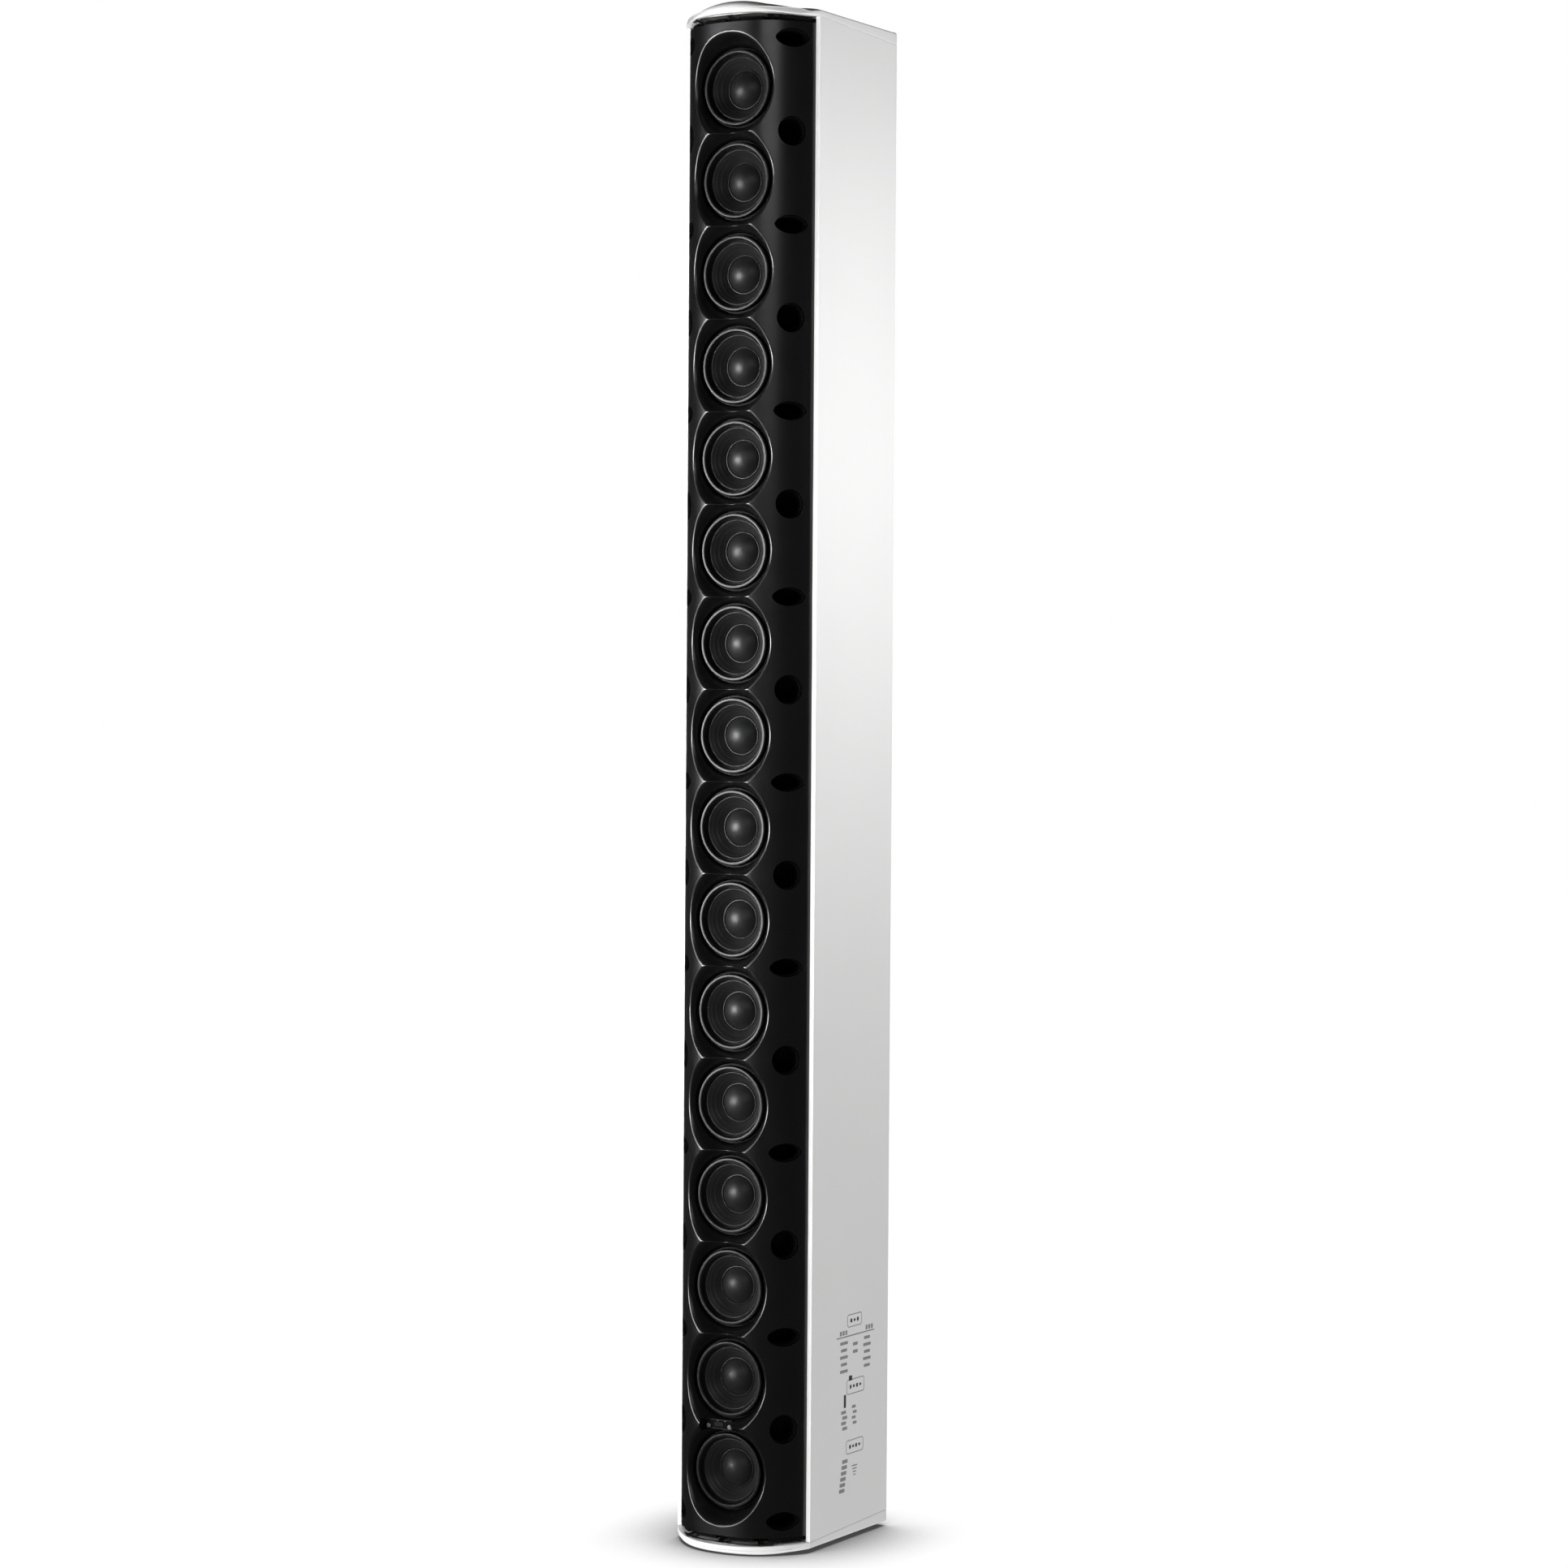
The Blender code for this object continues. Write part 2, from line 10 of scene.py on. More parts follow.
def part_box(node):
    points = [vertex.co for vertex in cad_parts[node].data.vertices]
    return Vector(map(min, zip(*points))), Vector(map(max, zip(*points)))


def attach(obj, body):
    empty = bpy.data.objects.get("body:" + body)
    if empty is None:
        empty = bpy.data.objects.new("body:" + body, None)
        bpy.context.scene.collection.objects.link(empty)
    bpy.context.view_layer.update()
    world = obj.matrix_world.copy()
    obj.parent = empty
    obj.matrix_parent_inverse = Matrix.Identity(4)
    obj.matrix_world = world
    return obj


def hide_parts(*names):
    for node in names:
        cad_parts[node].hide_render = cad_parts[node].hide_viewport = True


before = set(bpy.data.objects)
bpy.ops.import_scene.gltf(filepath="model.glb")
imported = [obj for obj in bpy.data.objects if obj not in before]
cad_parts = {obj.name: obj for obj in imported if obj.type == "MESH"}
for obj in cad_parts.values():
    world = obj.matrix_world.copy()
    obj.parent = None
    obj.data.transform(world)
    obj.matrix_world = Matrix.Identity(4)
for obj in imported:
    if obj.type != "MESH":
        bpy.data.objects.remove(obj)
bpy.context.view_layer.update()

MM = 0.001

# ---------------------------------------------------------------- places taken from the frame

CABINET_LOW, CABINET_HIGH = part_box("cabinet_extrusion")
BAFFLE_LOW, BAFFLE_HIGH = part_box("front_baffle")
TOP_LOW, TOP_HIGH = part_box("top_cap")
HALF = CABINET_HIGH.x
LIP_Y = CABINET_LOW.y
BACK_Y = CABINET_HIGH.y
HEIGHT = TOP_HIGH.z
DRIVERS = 16
SURROUND_CREST = 3.0 * MM      # the surround's roll stands this far in front of its edge


def driver_centre(number):
    """Centre of a driver in the plane of its surround's edge."""
    low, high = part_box(f"driver_{number:02d}_diaphragm")
    return Vector(((low.x + high.x) / 2, low.y + SURROUND_CREST, (low.z + high.z) / 2))


CENTRES = [driver_centre(number) for number in range(1, DRIVERS + 1)]
PITCH = CENTRES[0].z - CENTRES[1].z

# The front's shape: as in the CAD, with rounded rims
BAFFLE_HALF = BAFFLE_HIGH.x
BAFFLE_RISE = 41.0 * MM
BAFFLE_POWER = 3.05
BAFFLE_BACK = -16.0 * MM
HIDDEN_X = (0, 52.5, 55.5, 62.5, 64.5)    # profile of the hidden back, in millimetres
HIDDEN_Y = (-16, -16, -10.5, 1.5, 3.6)
POCKET_RADIUS = 37.0 * MM
POCKET_FLOOR = -21.4 * MM
POCKET_FLARE = 0.587
RIM_SOFTNESS = 5.2 * MM
RIM_SHIFT = 0.75 * RIM_SOFTNESS
RIM_BAND = 2.0 * MM            # half the width of the finely divided strip along a rim
RIDGE_SOFTNESS = 1.6 * MM
HOLE_EDGE = 0.8 * MM

# Side ports, end grooves and clips
PORT_ANGLE = math.radians(50.0)
PORT_X = 54.0 * MM
PORT_RADIUS = 13.3 * MM
LENS_HALF = 16.0 * MM
LENS_RISE = 8.5 * MM
LENS_POWER = 1.2
PORT_DEPTH = 24.0 * MM
PORT_REACH = 14.0 * MM         # the cutting tool starts this far in front of the surface
GROOVE_HEIGHT = 6.0 * MM
GROOVE_DEPTH = 4.5 * MM
GROOVE_BACK = 1.5 * MM         # the groove's floor stops here behind the lips
NOTCH_HALF = 6.5 * MM
NOTCH_FRONT = -4.5 * MM
NOTCH_BACK = 9.5 * MM
CLIP_PLACES = (-39.0 * MM, 0.0, 39.0 * MM)
TOOL_FRONT = LIP_Y - 60.0 * MM  # in front of the whole baffle

# The caps' shape
CROWN = 4.0 * MM
CROWN_FLAT = 0.4
CAP_BULGE = LIP_Y - TOP_LOW.y
CAP_POWER = 2.4
CAP_FRONT = 5.8 * MM
CAP_BACK = 11.2 * MM
SEAM_HEIGHT = CROWN + CAP_FRONT
CAP_CORNER = 3.0 * MM
CAP_LEDGE = 6.0 * MM           # hidden ledge on the cap's joint face
CAP_EDGE = 0.8 * MM
FRONT_SHARE = 0.35             # share of the bulge over which side details turn into front ones
CREASE_FRONT = 4.4 * MM        # rise of the fine crease over the seam
CREASE_SIDE = 1.2 * MM
CREASE_HALF = 0.35 * MM
CREASE_DEPTH = 0.3 * MM
SHOULDER = 1.8 * MM
TOP_SHOULDER = (6.2 * MM, 22.0 * MM)      # extra height and depth of the shoulder in front
BOTTOM_SHOULDER = (2.6 * MM, 5.4 * MM)
TOP_RISE = 5.0 * MM            # extra height of the top cap's crown over its middle
TOP_RISE_HALF = 50.0 * MM
FRONT_LIFT = 0.3 * MM          # the bottom cap's face rises this much towards its front


# ---------------------------------------------------------------- mesh tools

WELD = 0.004 * MM


def add_mesh(name, points, faces, surfaces, body="root", crease=35.0, slots=None):
    """Make a piece from points and faces that rides on a CAD body."""
    mesh = bpy.data.meshes.new(name)
    mesh.from_pydata([tuple(point) for point in points], [], faces)
    surfaces = surfaces if isinstance(surfaces, (list, tuple)) else [surfaces]
    for surface in surfaces:
        mesh.materials.append(surface)
    if slots is not None:
        mesh.polygons.foreach_set("material_index", slots)
    bm = bmesh.new()
    bm.from_mesh(mesh)
    bmesh.ops.remove_doubles(bm, verts=bm.verts, dist=WELD)
    bmesh.ops.recalc_face_normals(bm, faces=bm.faces)
    bm.to_mesh(mesh)
    bm.free()
    shade(mesh, crease)
    piece = bpy.data.objects.new(name, mesh)
    bpy.context.scene.collection.objects.link(piece)
    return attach(piece, body)


def shade(mesh, crease):
    """Smooth shading with sharp edges above an angle in degrees."""
    mesh.shade_smooth()
    mesh.set_sharp_from_angle(angle=math.radians(crease))


def lathe(profile, segments, centre):
    """Points and faces of a solid of revolution about +Y, and each face's place along the profile."""
    points, faces, spans, rings = [], [], [], []
    for radius, y in profile:
        count = segments if radius > 0.001 * MM else 1
        rings.append((len(points), count))
        for step in range(count):
            turn = 2 * math.pi * step / segments
            points.append((centre[0] + radius * math.cos(turn), centre[1] + y,
                           centre[2] + radius * math.sin(turn)))
    for span, ((near, near_count), (far, far_count)) in enumerate(zip(rings, rings[1:])):
        if near_count == far_count == 1:
            continue
        for step in range(segments):
            follow = (step + 1) % segments
            corners = [near + step % near_count, near + follow % near_count,
                       far + follow % far_count, far + step % far_count]
            faces.append(list(dict.fromkeys(corners)))
            spans.append(span)
    return points, faces, spans


def loft(loops, closed=True):
    """Points and faces of a skin through loops of equal length, with both ends filled."""
    count = len(loops[0])
    points = [point for loop in loops for point in loop]
    faces = []
    for row in range(len(loops) - 1):
        for a in range(count):
            b = (a + 1) % count
            faces.append([row * count + a, row * count + b, (row + 1) * count + b, (row + 1) * count + a])
    if closed:
        faces.append(list(range(count)))
        faces.append(list(range((len(loops) - 1) * count, len(loops) * count)))
    return points, faces


def rounded_block(low, high, radius):
    """Points and faces of a block with rounded edges all round."""
    bm = bmesh.new()
    size = [b - a for a, b in zip(low, high)]
    middle = [(a + b) / 2 for a, b in zip(low, high)]
    bmesh.ops.create_cube(bm, size=1, matrix=Matrix.Translation(middle) @ Matrix.Diagonal((*size, 1)))
    bmesh.ops.bevel(bm, geom=list(bm.edges), offset=min(radius, 0.45 * min(size)), segments=3,
                    profile=0.5, affect="EDGES")
    points = [vertex.co.copy() for vertex in bm.verts]
    faces = [[vertex.index for vertex in face.verts] for face in bm.faces]
    bm.free()
    return points, faces


def join(parts):
    """One list of points and faces from several."""
    points, faces = [], []
    for some_points, some_faces in parts:
        start = len(points)
        points += some_points
        faces += [[start + index for index in face] for face in some_faces]
    return points, faces


def cutter(name, points, faces, surface):
    """A closed cutting tool, removed after use. Its cuts take its own finish."""
    mesh = bpy.data.meshes.new(name)
    mesh.from_pydata([tuple(point) for point in points], [], faces)
    mesh.materials.append(surface)
    bm = bmesh.new()
    bm.from_mesh(mesh)
    bmesh.ops.recalc_face_normals(bm, faces=bm.faces)
    bm.to_mesh(mesh)
    bm.free()
    tool = bpy.data.objects.new(name, mesh)
    bpy.context.scene.collection.objects.link(tool)
    return tool


def cut(piece, tools, crease=38.0):
    """Cut closed tools out of a piece, keep the result and remove the tools."""
    for tool in tools:
        step = piece.modifiers.new(tool.name, "BOOLEAN")
        step.operation = "DIFFERENCE"
        step.solver = "EXACT"
        step.material_mode = "TRANSFER"
        step.object = tool
    graph = bpy.context.evaluated_depsgraph_get()
    result = bpy.data.meshes.new_from_object(piece.evaluated_get(graph))
    piece.modifiers.clear()
    piece.data = result
    for tool in tools:
        bpy.data.objects.remove(tool, do_unlink=True)
    shade(result, crease)


# ---------------------------------------------------------------- materials

def principled(name, colour, roughness, metallic=0.0, specular=0.5):
    """A Principled material and its tree, ready for procedural detail."""
    made = bpy.data.materials.new(name)
    made.use_nodes = True
    shader = made.node_tree.nodes["Principled BSDF"]
    shader.inputs["Base Color"].default_value = (*colour, 1)
    shader.inputs["Roughness"].default_value = roughness
    shader.inputs["Metallic"].default_value = metallic
    shader.inputs["Specular IOR Level"].default_value = specular
    return made, made.node_tree, shader


def texture(tree, scale, detail=3.0, stretch=(1, 1, 1), kind="ShaderNodeTexNoise"):
    """A 3-D texture in the object's own metres; stretch squeezes it along an axis."""
    place = tree.nodes.new("ShaderNodeTexCoord")
    mapping = tree.nodes.new("ShaderNodeMapping")
    mapping.inputs["Scale"].default_value = stretch
    tree.links.new(place.outputs["Object"], mapping.inputs["Vector"])
    node = tree.nodes.new(kind)
    node.inputs["Scale"].default_value = scale
    node.inputs["Detail"].default_value = detail
    tree.links.new(mapping.outputs["Vector"], node.inputs["Vector"])
    return node


def vary_colour(tree, shader, noise, dark, light):
    """Base colour that drifts between two tones with a texture."""
    ramp = tree.nodes.new("ShaderNodeMix")
    ramp.data_type = "RGBA"
    ramp.inputs["A"].default_value = (*dark, 1)
    ramp.inputs["B"].default_value = (*light, 1)
    tree.links.new(noise.outputs[0], ramp.inputs["Factor"])
    tree.links.new(ramp.outputs["Result"], shader.inputs["Base Color"])


def vary_roughness(tree, shader, noise, low, high):
    """Roughness that drifts between two values with a texture."""
    span = tree.nodes.new("ShaderNodeMapRange")
    span.inputs["From Min"].default_value = 0.3
    span.inputs["From Max"].default_value = 0.7
    span.inputs["To Min"].default_value = low
    span.inputs["To Max"].default_value = high
    tree.links.new(noise.outputs[0], span.inputs["Value"])
    tree.links.new(span.outputs["Result"], shader.inputs["Roughness"])


def add_bump(tree, shader, noise, strength, distance):
    """Fine relief from a texture."""
    bump = tree.nodes.new("ShaderNodeBump")
    bump.inputs["Strength"].default_value = strength
    bump.inputs["Distance"].default_value = distance
    tree.links.new(noise.outputs[0], bump.inputs["Height"])
    tree.links.new(bump.outputs["Normal"], shader.inputs["Normal"])


def coated(name, dark, light, rough, grain, relief, specular=0.5):
    """Painted or moulded surface: drifting tone and gloss, and a fine grain."""
    made, tree, shader = principled(name, light, rough[0], specular=specular)
    vary_colour(tree, shader, texture(tree, 9.0, 4.0), dark, light)
    vary_roughness(tree, shader, texture(tree, 38.0, 5.0), *rough)
    add_bump(tree, shader, texture(tree, grain, 2.0), relief, 0.1 * MM)
    return made


def brushed(name, dark, light, rough, stretch):
    """Metal with fine lines along one axis."""
    made, tree, shader = principled(name, light, rough[0], metallic=1.0)
    lines = texture(tree, 600.0, 3.0, stretch)
    vary_colour(tree, shader, texture(tree, 60.0, 4.0, stretch), dark, light)
    vary_roughness(tree, shader, lines, *rough)
    add_bump(tree, shader, lines, 0.15, 0.03 * MM)
    return made


def shade_foam(name):
    """Foam of open cells that takes in nearly all light: near-black painted shade for hollows that should
    read dark.
    """
    made, tree, shader = principled(name, (0.004, 0.004, 0.004), 1.0, specular=0.05)
    cells = texture(tree, 900.0, 1.0, kind="ShaderNodeTexVoronoi")
    vary_colour(tree, shader, cells, (0.002, 0.002, 0.002), (0.008, 0.008, 0.008))
    add_bump(tree, shader, cells, 0.8, 0.5 * MM)
    return made


PAINT = coated("white_powder_coat", (0.835, 0.835, 0.832), (0.865, 0.865, 0.86), (0.38, 0.5), 1500.0, 0.06)
MOULDED_WHITE = coated("white_moulding", (0.85, 0.85, 0.847), (0.88, 0.88, 0.876), (0.3, 0.4), 2600.0, 0.04)
BLACK = coated("black_moulding", (0.0018, 0.0018, 0.0019), (0.0036, 0.0036, 0.0038), (0.28, 0.34),
               2200.0, 0.12, 1.0)
RUBBER = coated("surround_rubber", (0.006, 0.006, 0.0065), (0.010, 0.010, 0.011), (0.34, 0.40),
                1800.0, 0.03, 0.30)
PAPER = coated("cone_paper", (0.008, 0.008, 0.0083), (0.016, 0.016, 0.0165), (0.42, 0.52), 1300.0, 0.28, 0.52)
DOME = coated("dust_cap", (0.008, 0.008, 0.0085), (0.014, 0.014, 0.0145), (0.40, 0.48), 2000.0, 0.14, 0.43)
FRAME = coated("driver_frame", (0.003, 0.003, 0.003), (0.006, 0.006, 0.006), (0.6, 0.7), 1200.0, 0.15, 0.2)
# painted shade: near-black matt lining for the ports' hollows and the indicator's housing
SHADE_FOAM = shade_foam("painted_shade_foam")
# painted shade: near-black flock on the faces cut by the end grooves, the clip notches and the indicator's
# notch
GROOVE_SHADE = shade_foam("groove_painted_shade")
STEEL = brushed("clip_steel", (0.42, 0.42, 0.41), (0.60, 0.59, 0.57), (0.28, 0.42), (1, 8, 8))
ANODISED = brushed("black_aluminium", (0.05, 0.05, 0.053), (0.09, 0.09, 0.095), (0.38, 0.52), (8, 8, 0.6))
ZINC = brushed("zinc_plate", (0.5, 0.51, 0.53), (0.66, 0.67, 0.69), (0.25, 0.4), (4, 4, 1))
SCREW = brushed("screw_steel", (0.36, 0.36, 0.37), (0.5, 0.5, 0.51), (0.25, 0.38), (3, 3, 3))
FITTING = coated("black_fitting", (0.010, 0.010, 0.010), (0.018, 0.018, 0.018), (0.42, 0.55), 1500.0, 0.15)
GREEN = coated("terminal_green", (0.03, 0.22, 0.08), (0.05, 0.30, 0.11), (0.4, 0.5), 1500.0, 0.08)
BOARD = coated("board", (0.012, 0.07, 0.03), (0.02, 0.11, 0.05), (0.4, 0.55), 900.0, 0.15)
SLEEVE = coated("sleeve", (0.012, 0.012, 0.012), (0.022, 0.022, 0.022), (0.7, 0.85), 700.0, 0.5)
WINDOW = coated("window", (0.004, 0.005, 0.004), (0.008, 0.009, 0.008), (0.5, 0.6), 600.0, 0.02, 0.2)
# painted highlight: zinc grey raised to a light tone that stands in for glints on the indicator's screws and
# lamps
GLINT_ZINC = coated("zinc_painted_glint", (0.16, 0.16, 0.155), (0.26, 0.26, 0.25), (0.40, 0.50), 1500.0, 0.1)
INK = coated("legend_ink", (0.24, 0.24, 0.245), (0.38, 0.38, 0.385), (0.45, 0.6), 1800.0, 0.05)
DARK_INK = coated("legend_ink_dark", (0.04, 0.04, 0.042), (0.08, 0.08, 0.082), (0.45, 0.6), 1800.0, 0.05)
GOLD = brushed("contact_metal", (0.5, 0.36, 0.14), (0.75, 0.56, 0.24), (0.2, 0.32), (3, 3, 3))


def dress(node, surface, edge=0.0):
    """Give a carried-over CAD node its finish and small rounded edges."""
    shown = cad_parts[node]
    shown.data.materials.clear()
    shown.data.materials.append(surface)
    if edge:
        bevel = shown.modifiers.new("edges", "BEVEL")
        bevel.width = edge
        bevel.segments = 2
        bevel.limit_method = "ANGLE"
        bevel.angle_limit = math.radians(40)
        bevel.harden_normals = False


# ---------------------------------------------------------------- baffle

def crest(x):
    """Y of the bulged front before the pockets are cut, from the lips."""
    return -BAFFLE_RISE * (1 - np.abs(x / BAFFLE_HALF) ** BAFFLE_POWER)


def soft_max(a, b, softness):
    """The larger of two surfaces, with the edge where they meet rounded off."""
    share = np.maximum(softness - np.abs(a - b), 0) / softness
    return np.maximum(a, b) + share * share * softness / 4


def pocket(radius):
    """Y of a pocket's cone at a radius from its driver's axis, from the lips."""
    return POCKET_FLOOR - (radius - POCKET_RADIUS) / POCKET_FLARE


def front(x, z, neighbours):
    """Y of the finished front at x and z from a driver's centre, from the lips.

    The cones stand forward so that the rounding stays inside the rims' true outline.
    """
    cone = pocket(np.hypot(x, z))
    for offset in neighbours:
        cone = soft_max(cone, pocket(np.hypot(x, z - offset)), RIDGE_SOFTNESS)
    return soft_max(crest(x), cone - RIM_SHIFT, RIM_SOFTNESS)


def tile_boundary(low, high):
    """Points round one driver's share of the baffle, anticlockwise from the lower right corner.

    They lie closest together where the pockets' rims cross the tile's upper and lower edges.
    """
    near = np.linspace(0, 15, 8)
    rims = np.linspace(16, 30, 15)
    flank = np.linspace(32.5, 60, 12)
    border = [63.5, 65.3]
    across = np.concatenate([np.concatenate([near, rims, flank, border]) * MM, [BAFFLE_HALF]])
    across = np.concatenate([-across[:0:-1], across])
    spacing = 2.4 * MM
    up = np.linspace(low, high, max(8, int((high - low) / spacing)))
    right = [(BAFFLE_HALF, z) for z in up[:-1]]
    top = [(x, high) for x in across[:0:-1]]
    left = [(-BAFFLE_HALF, z) for z in up[:0:-1]]
    bottom = [(x, low) for x in across[:-1]]
    return np.array(right + top + left + bottom)


def ray_samples(reach, direction):
    """Radii along one ray, from the driver's hole to the tile's edge, close together at the pocket's rim."""
    trial = np.linspace(POCKET_RADIUS, reach, 200)
    outside = np.nonzero(pocket(trial) < crest(trial * direction[0]))[0]
    rim = trial[outside[0]] if len(outside) else reach
    first = POCKET_RADIUS + HOLE_EDGE
    before = max(first + 0.3 * (rim - first), rim - RIM_BAND)
    after = rim + RIM_BAND
    if after > reach - 0.5 * MM:
        after = reach - 0.35 * (reach - before)
    wall = np.linspace(first, before, 9)[:-1]
    bead = np.linspace(before, after, 13)[:-1]
    flank = after + (reach - after) * np.linspace(0, 1, 14) ** 1.15
    return np.concatenate([wall, bead, flank])


def baffle_back(x):
    """Y of the baffle's hidden back, from the lips."""
    return np.interp(abs(x), np.array(HIDDEN_X) * MM, np.array(HIDDEN_Y) * MM)


def baffle_column(x, z, neighbours):
    """Points from the driver's hole out to one point of the tile's boundary, then to the back."""
    far = math.hypot(x, z)
    direction = np.array([x, z]) / far
    radii = ray_samples(far, direction)
    xs, zs = radii * direction[0], radii * direction[1]
    ys = front(xs, zs, neighbours)
    hole_edge = ((0, BAFFLE_BACK), (0, POCKET_FLOOR + HOLE_EDGE), (0.08 * MM, POCKET_FLOOR + 0.1 * MM),
                 (0.3 * MM, (POCKET_FLOOR + ys[0]) / 2))
    column = []
    for extra, y in hole_edge:
        radius = POCKET_RADIUS + extra
        column.append((radius * direction[0], y, radius * direction[1]))
    column += list(zip(xs, ys, zs))
    column.append((x, float(baffle_back(x)), z))
    return column


def baffle_mesh():
    """The whole front as one closed mesh, one tile for each driver."""
    points, faces = [], []
    for index, centre in enumerate(CENTRES):
        first, last = index == 0, index == DRIVERS - 1
        low = BAFFLE_LOW.z - centre.z if last else -PITCH / 2
        high = BAFFLE_HIGH.z - centre.z if first else PITCH / 2
        neighbours = ([] if first else [PITCH]) + ([] if last else [-PITCH])
        boundary = tile_boundary(low, high)
        start = len(points)
        columns = [baffle_column(x, z, neighbours) for x, z in boundary]
        rows = len(columns[0])
        for column in columns:
            points += [(x, LIP_Y + y, centre.z + z) for x, y, z in column]
        for a in range(len(columns)):
            b = (a + 1) % len(columns)
            level = boundary[a][1] if abs(boundary[a][1] - boundary[b][1]) < 1e-9 else 0.0
            shared = (level > 0 and not first) or (level < 0 and not last)
            for row in range(rows):
                if row == rows - 2 and shared:
                    continue
                follow = (row + 1) % rows
                faces.append([start + a * rows + row, start + b * rows + row,
                              start + b * rows + follow, start + a * rows + follow])
    return points, faces


def port_outline(lens, grow=0.0):
    """Outline of a side port in its own plane: a circle, or a lens between two arcs."""
    count = 24
    if not lens:
        radius = PORT_RADIUS + grow
        return [(radius * math.cos(math.pi * k / count), radius * math.sin(math.pi * k / count))
                for k in range(2 * count)]
    half, rise = LENS_HALF + grow, LENS_RISE + grow
    upper = [(-half * math.cos(math.pi * k / count), rise * math.sin(math.pi * k / count) ** LENS_POWER)
             for k in range(count + 1)]
    return upper + [(u, -v) for u, v in upper[-2:0:-1]]


def ports():
    """Side and row of every port."""
    return [(side, row) for side in (-1, 1) for row in range(DRIVERS + 1)]


def port_loop(side, row, reach, grow=0.0):
    """One port's outline, moved along its axis by reach (outwards positive)."""
    across = Vector((side * math.cos(PORT_ANGLE), math.sin(PORT_ANGLE), 0))
    outward = Vector((side * math.sin(PORT_ANGLE), -math.cos(PORT_ANGLE), 0))
    height = CENTRES[0].z + PITCH / 2 - row * PITCH
    centre = Vector((side * PORT_X, LIP_Y + float(crest(PORT_X)), height)) + outward * reach
    return [centre + across * u + Vector((0, 0, v)) for u, v in port_outline(row % 2 == 0, grow)]


def clip_frame(x):
    """Transform of a clip: its X runs along the curved front and its Y points straight back into it."""
    slope = math.atan2(float(crest(x + MM) - crest(x - MM)), 2 * MM)
    return Matrix.Translation((x, LIP_Y + float(crest(x)), 0)) @ Matrix.Rotation(slope, 4, "Z")


def groove_tools(low, high):
    """Cutting tools for the slot between the front and a cap, with a deeper notch behind each clip."""
    reach, steps = BAFFLE_HALF + MM, 60
    sweep = [reach * (2 * step / steps - 1) for step in range(steps + 1)]
    outline = [(reach, TOOL_FRONT), (-reach, TOOL_FRONT)]
    outline += [(x, LIP_Y + min(float(crest(x)) + GROOVE_DEPTH, GROOVE_BACK)) for x in sweep]
    loops = [[Vector((x, y, z)) for x, y in outline] for z in (low, high)]
    # the groove's and notches' cut faces take the near-black painted shade
    tools = [cutter("groove_tool", *loft(loops), GROOVE_SHADE)]
    corners = [(-NOTCH_HALF, NOTCH_FRONT), (NOTCH_HALF, NOTCH_FRONT), (NOTCH_HALF, NOTCH_BACK),
               (-NOTCH_HALF, NOTCH_BACK)]
    inset = 0.2 * MM
    for number, x in enumerate(CLIP_PLACES):
        loops = [[clip_frame(x) @ Vector((u, v, z)) for u, v in corners] for z in (low + inset, high - inset)]
        tools.append(cutter(f"notch_tool_{number}", *loft(loops), GROOVE_SHADE))
    return tools


def indicator_tool():
    """Cutting tool for the notch that holds the status indicator."""
    low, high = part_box("indicator_housing")
    margin = 0.3 * MM
    left, right, back = low.x - margin, high.x + margin, high.y + margin
    corners = ((left, TOOL_FRONT), (right, TOOL_FRONT), (right, back), (left, back))
    loops = [[Vector((x, y, z)) for x, y in corners] for z in (low.z - margin, high.z + margin)]
    # the notch's cut faces take the near-black painted shade
    return cutter("notch_tool", *loft(loops), GROOVE_SHADE)


def make_baffle():
    """Curved front with sixteen pockets, two rows of ports, end grooves and the indicator's notch."""
    baffle = add_mesh("baffle_shell", *baffle_mesh(), BLACK)
    port_holes = join([loft([port_loop(side, row, -PORT_DEPTH), port_loop(side, row, PORT_REACH)])
                       for side, row in ports()])
    port_tool = cutter("port_tool", *port_holes, BLACK)
    notch = indicator_tool()
    floor, ceiling = SEAM_HEIGHT, HEIGHT - SEAM_HEIGHT
    grooves = groove_tools(floor - MM, floor + GROOVE_HEIGHT)
    grooves += groove_tools(ceiling - GROOVE_HEIGHT, ceiling + MM)
    cut(baffle, [port_tool, notch, *grooves])
    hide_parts("front_baffle")


def make_port_liners():
    """Cup behind each port, lined in near-black painted shade, from its inner floor out to the mouth and back
    to its outer floor.
    """
    stages = ((-24.8, -2.45), (-24.0, -1.35), (-14.0, -1.15), (-3.0, -0.75), (-3.2, -0.25), (-25.6, -0.25),
              (-26.2, -2.25))
    for side, row in ports():
        loops = [port_loop(side, row, reach * MM, grow * MM) for reach, grow in stages]
        name = f"port_liner_{'left' if side < 0 else 'right'}_{row + 1:02d}"
        add_mesh(name, *loft(loops), SHADE_FOAM)


# ---------------------------------------------------------------- caps

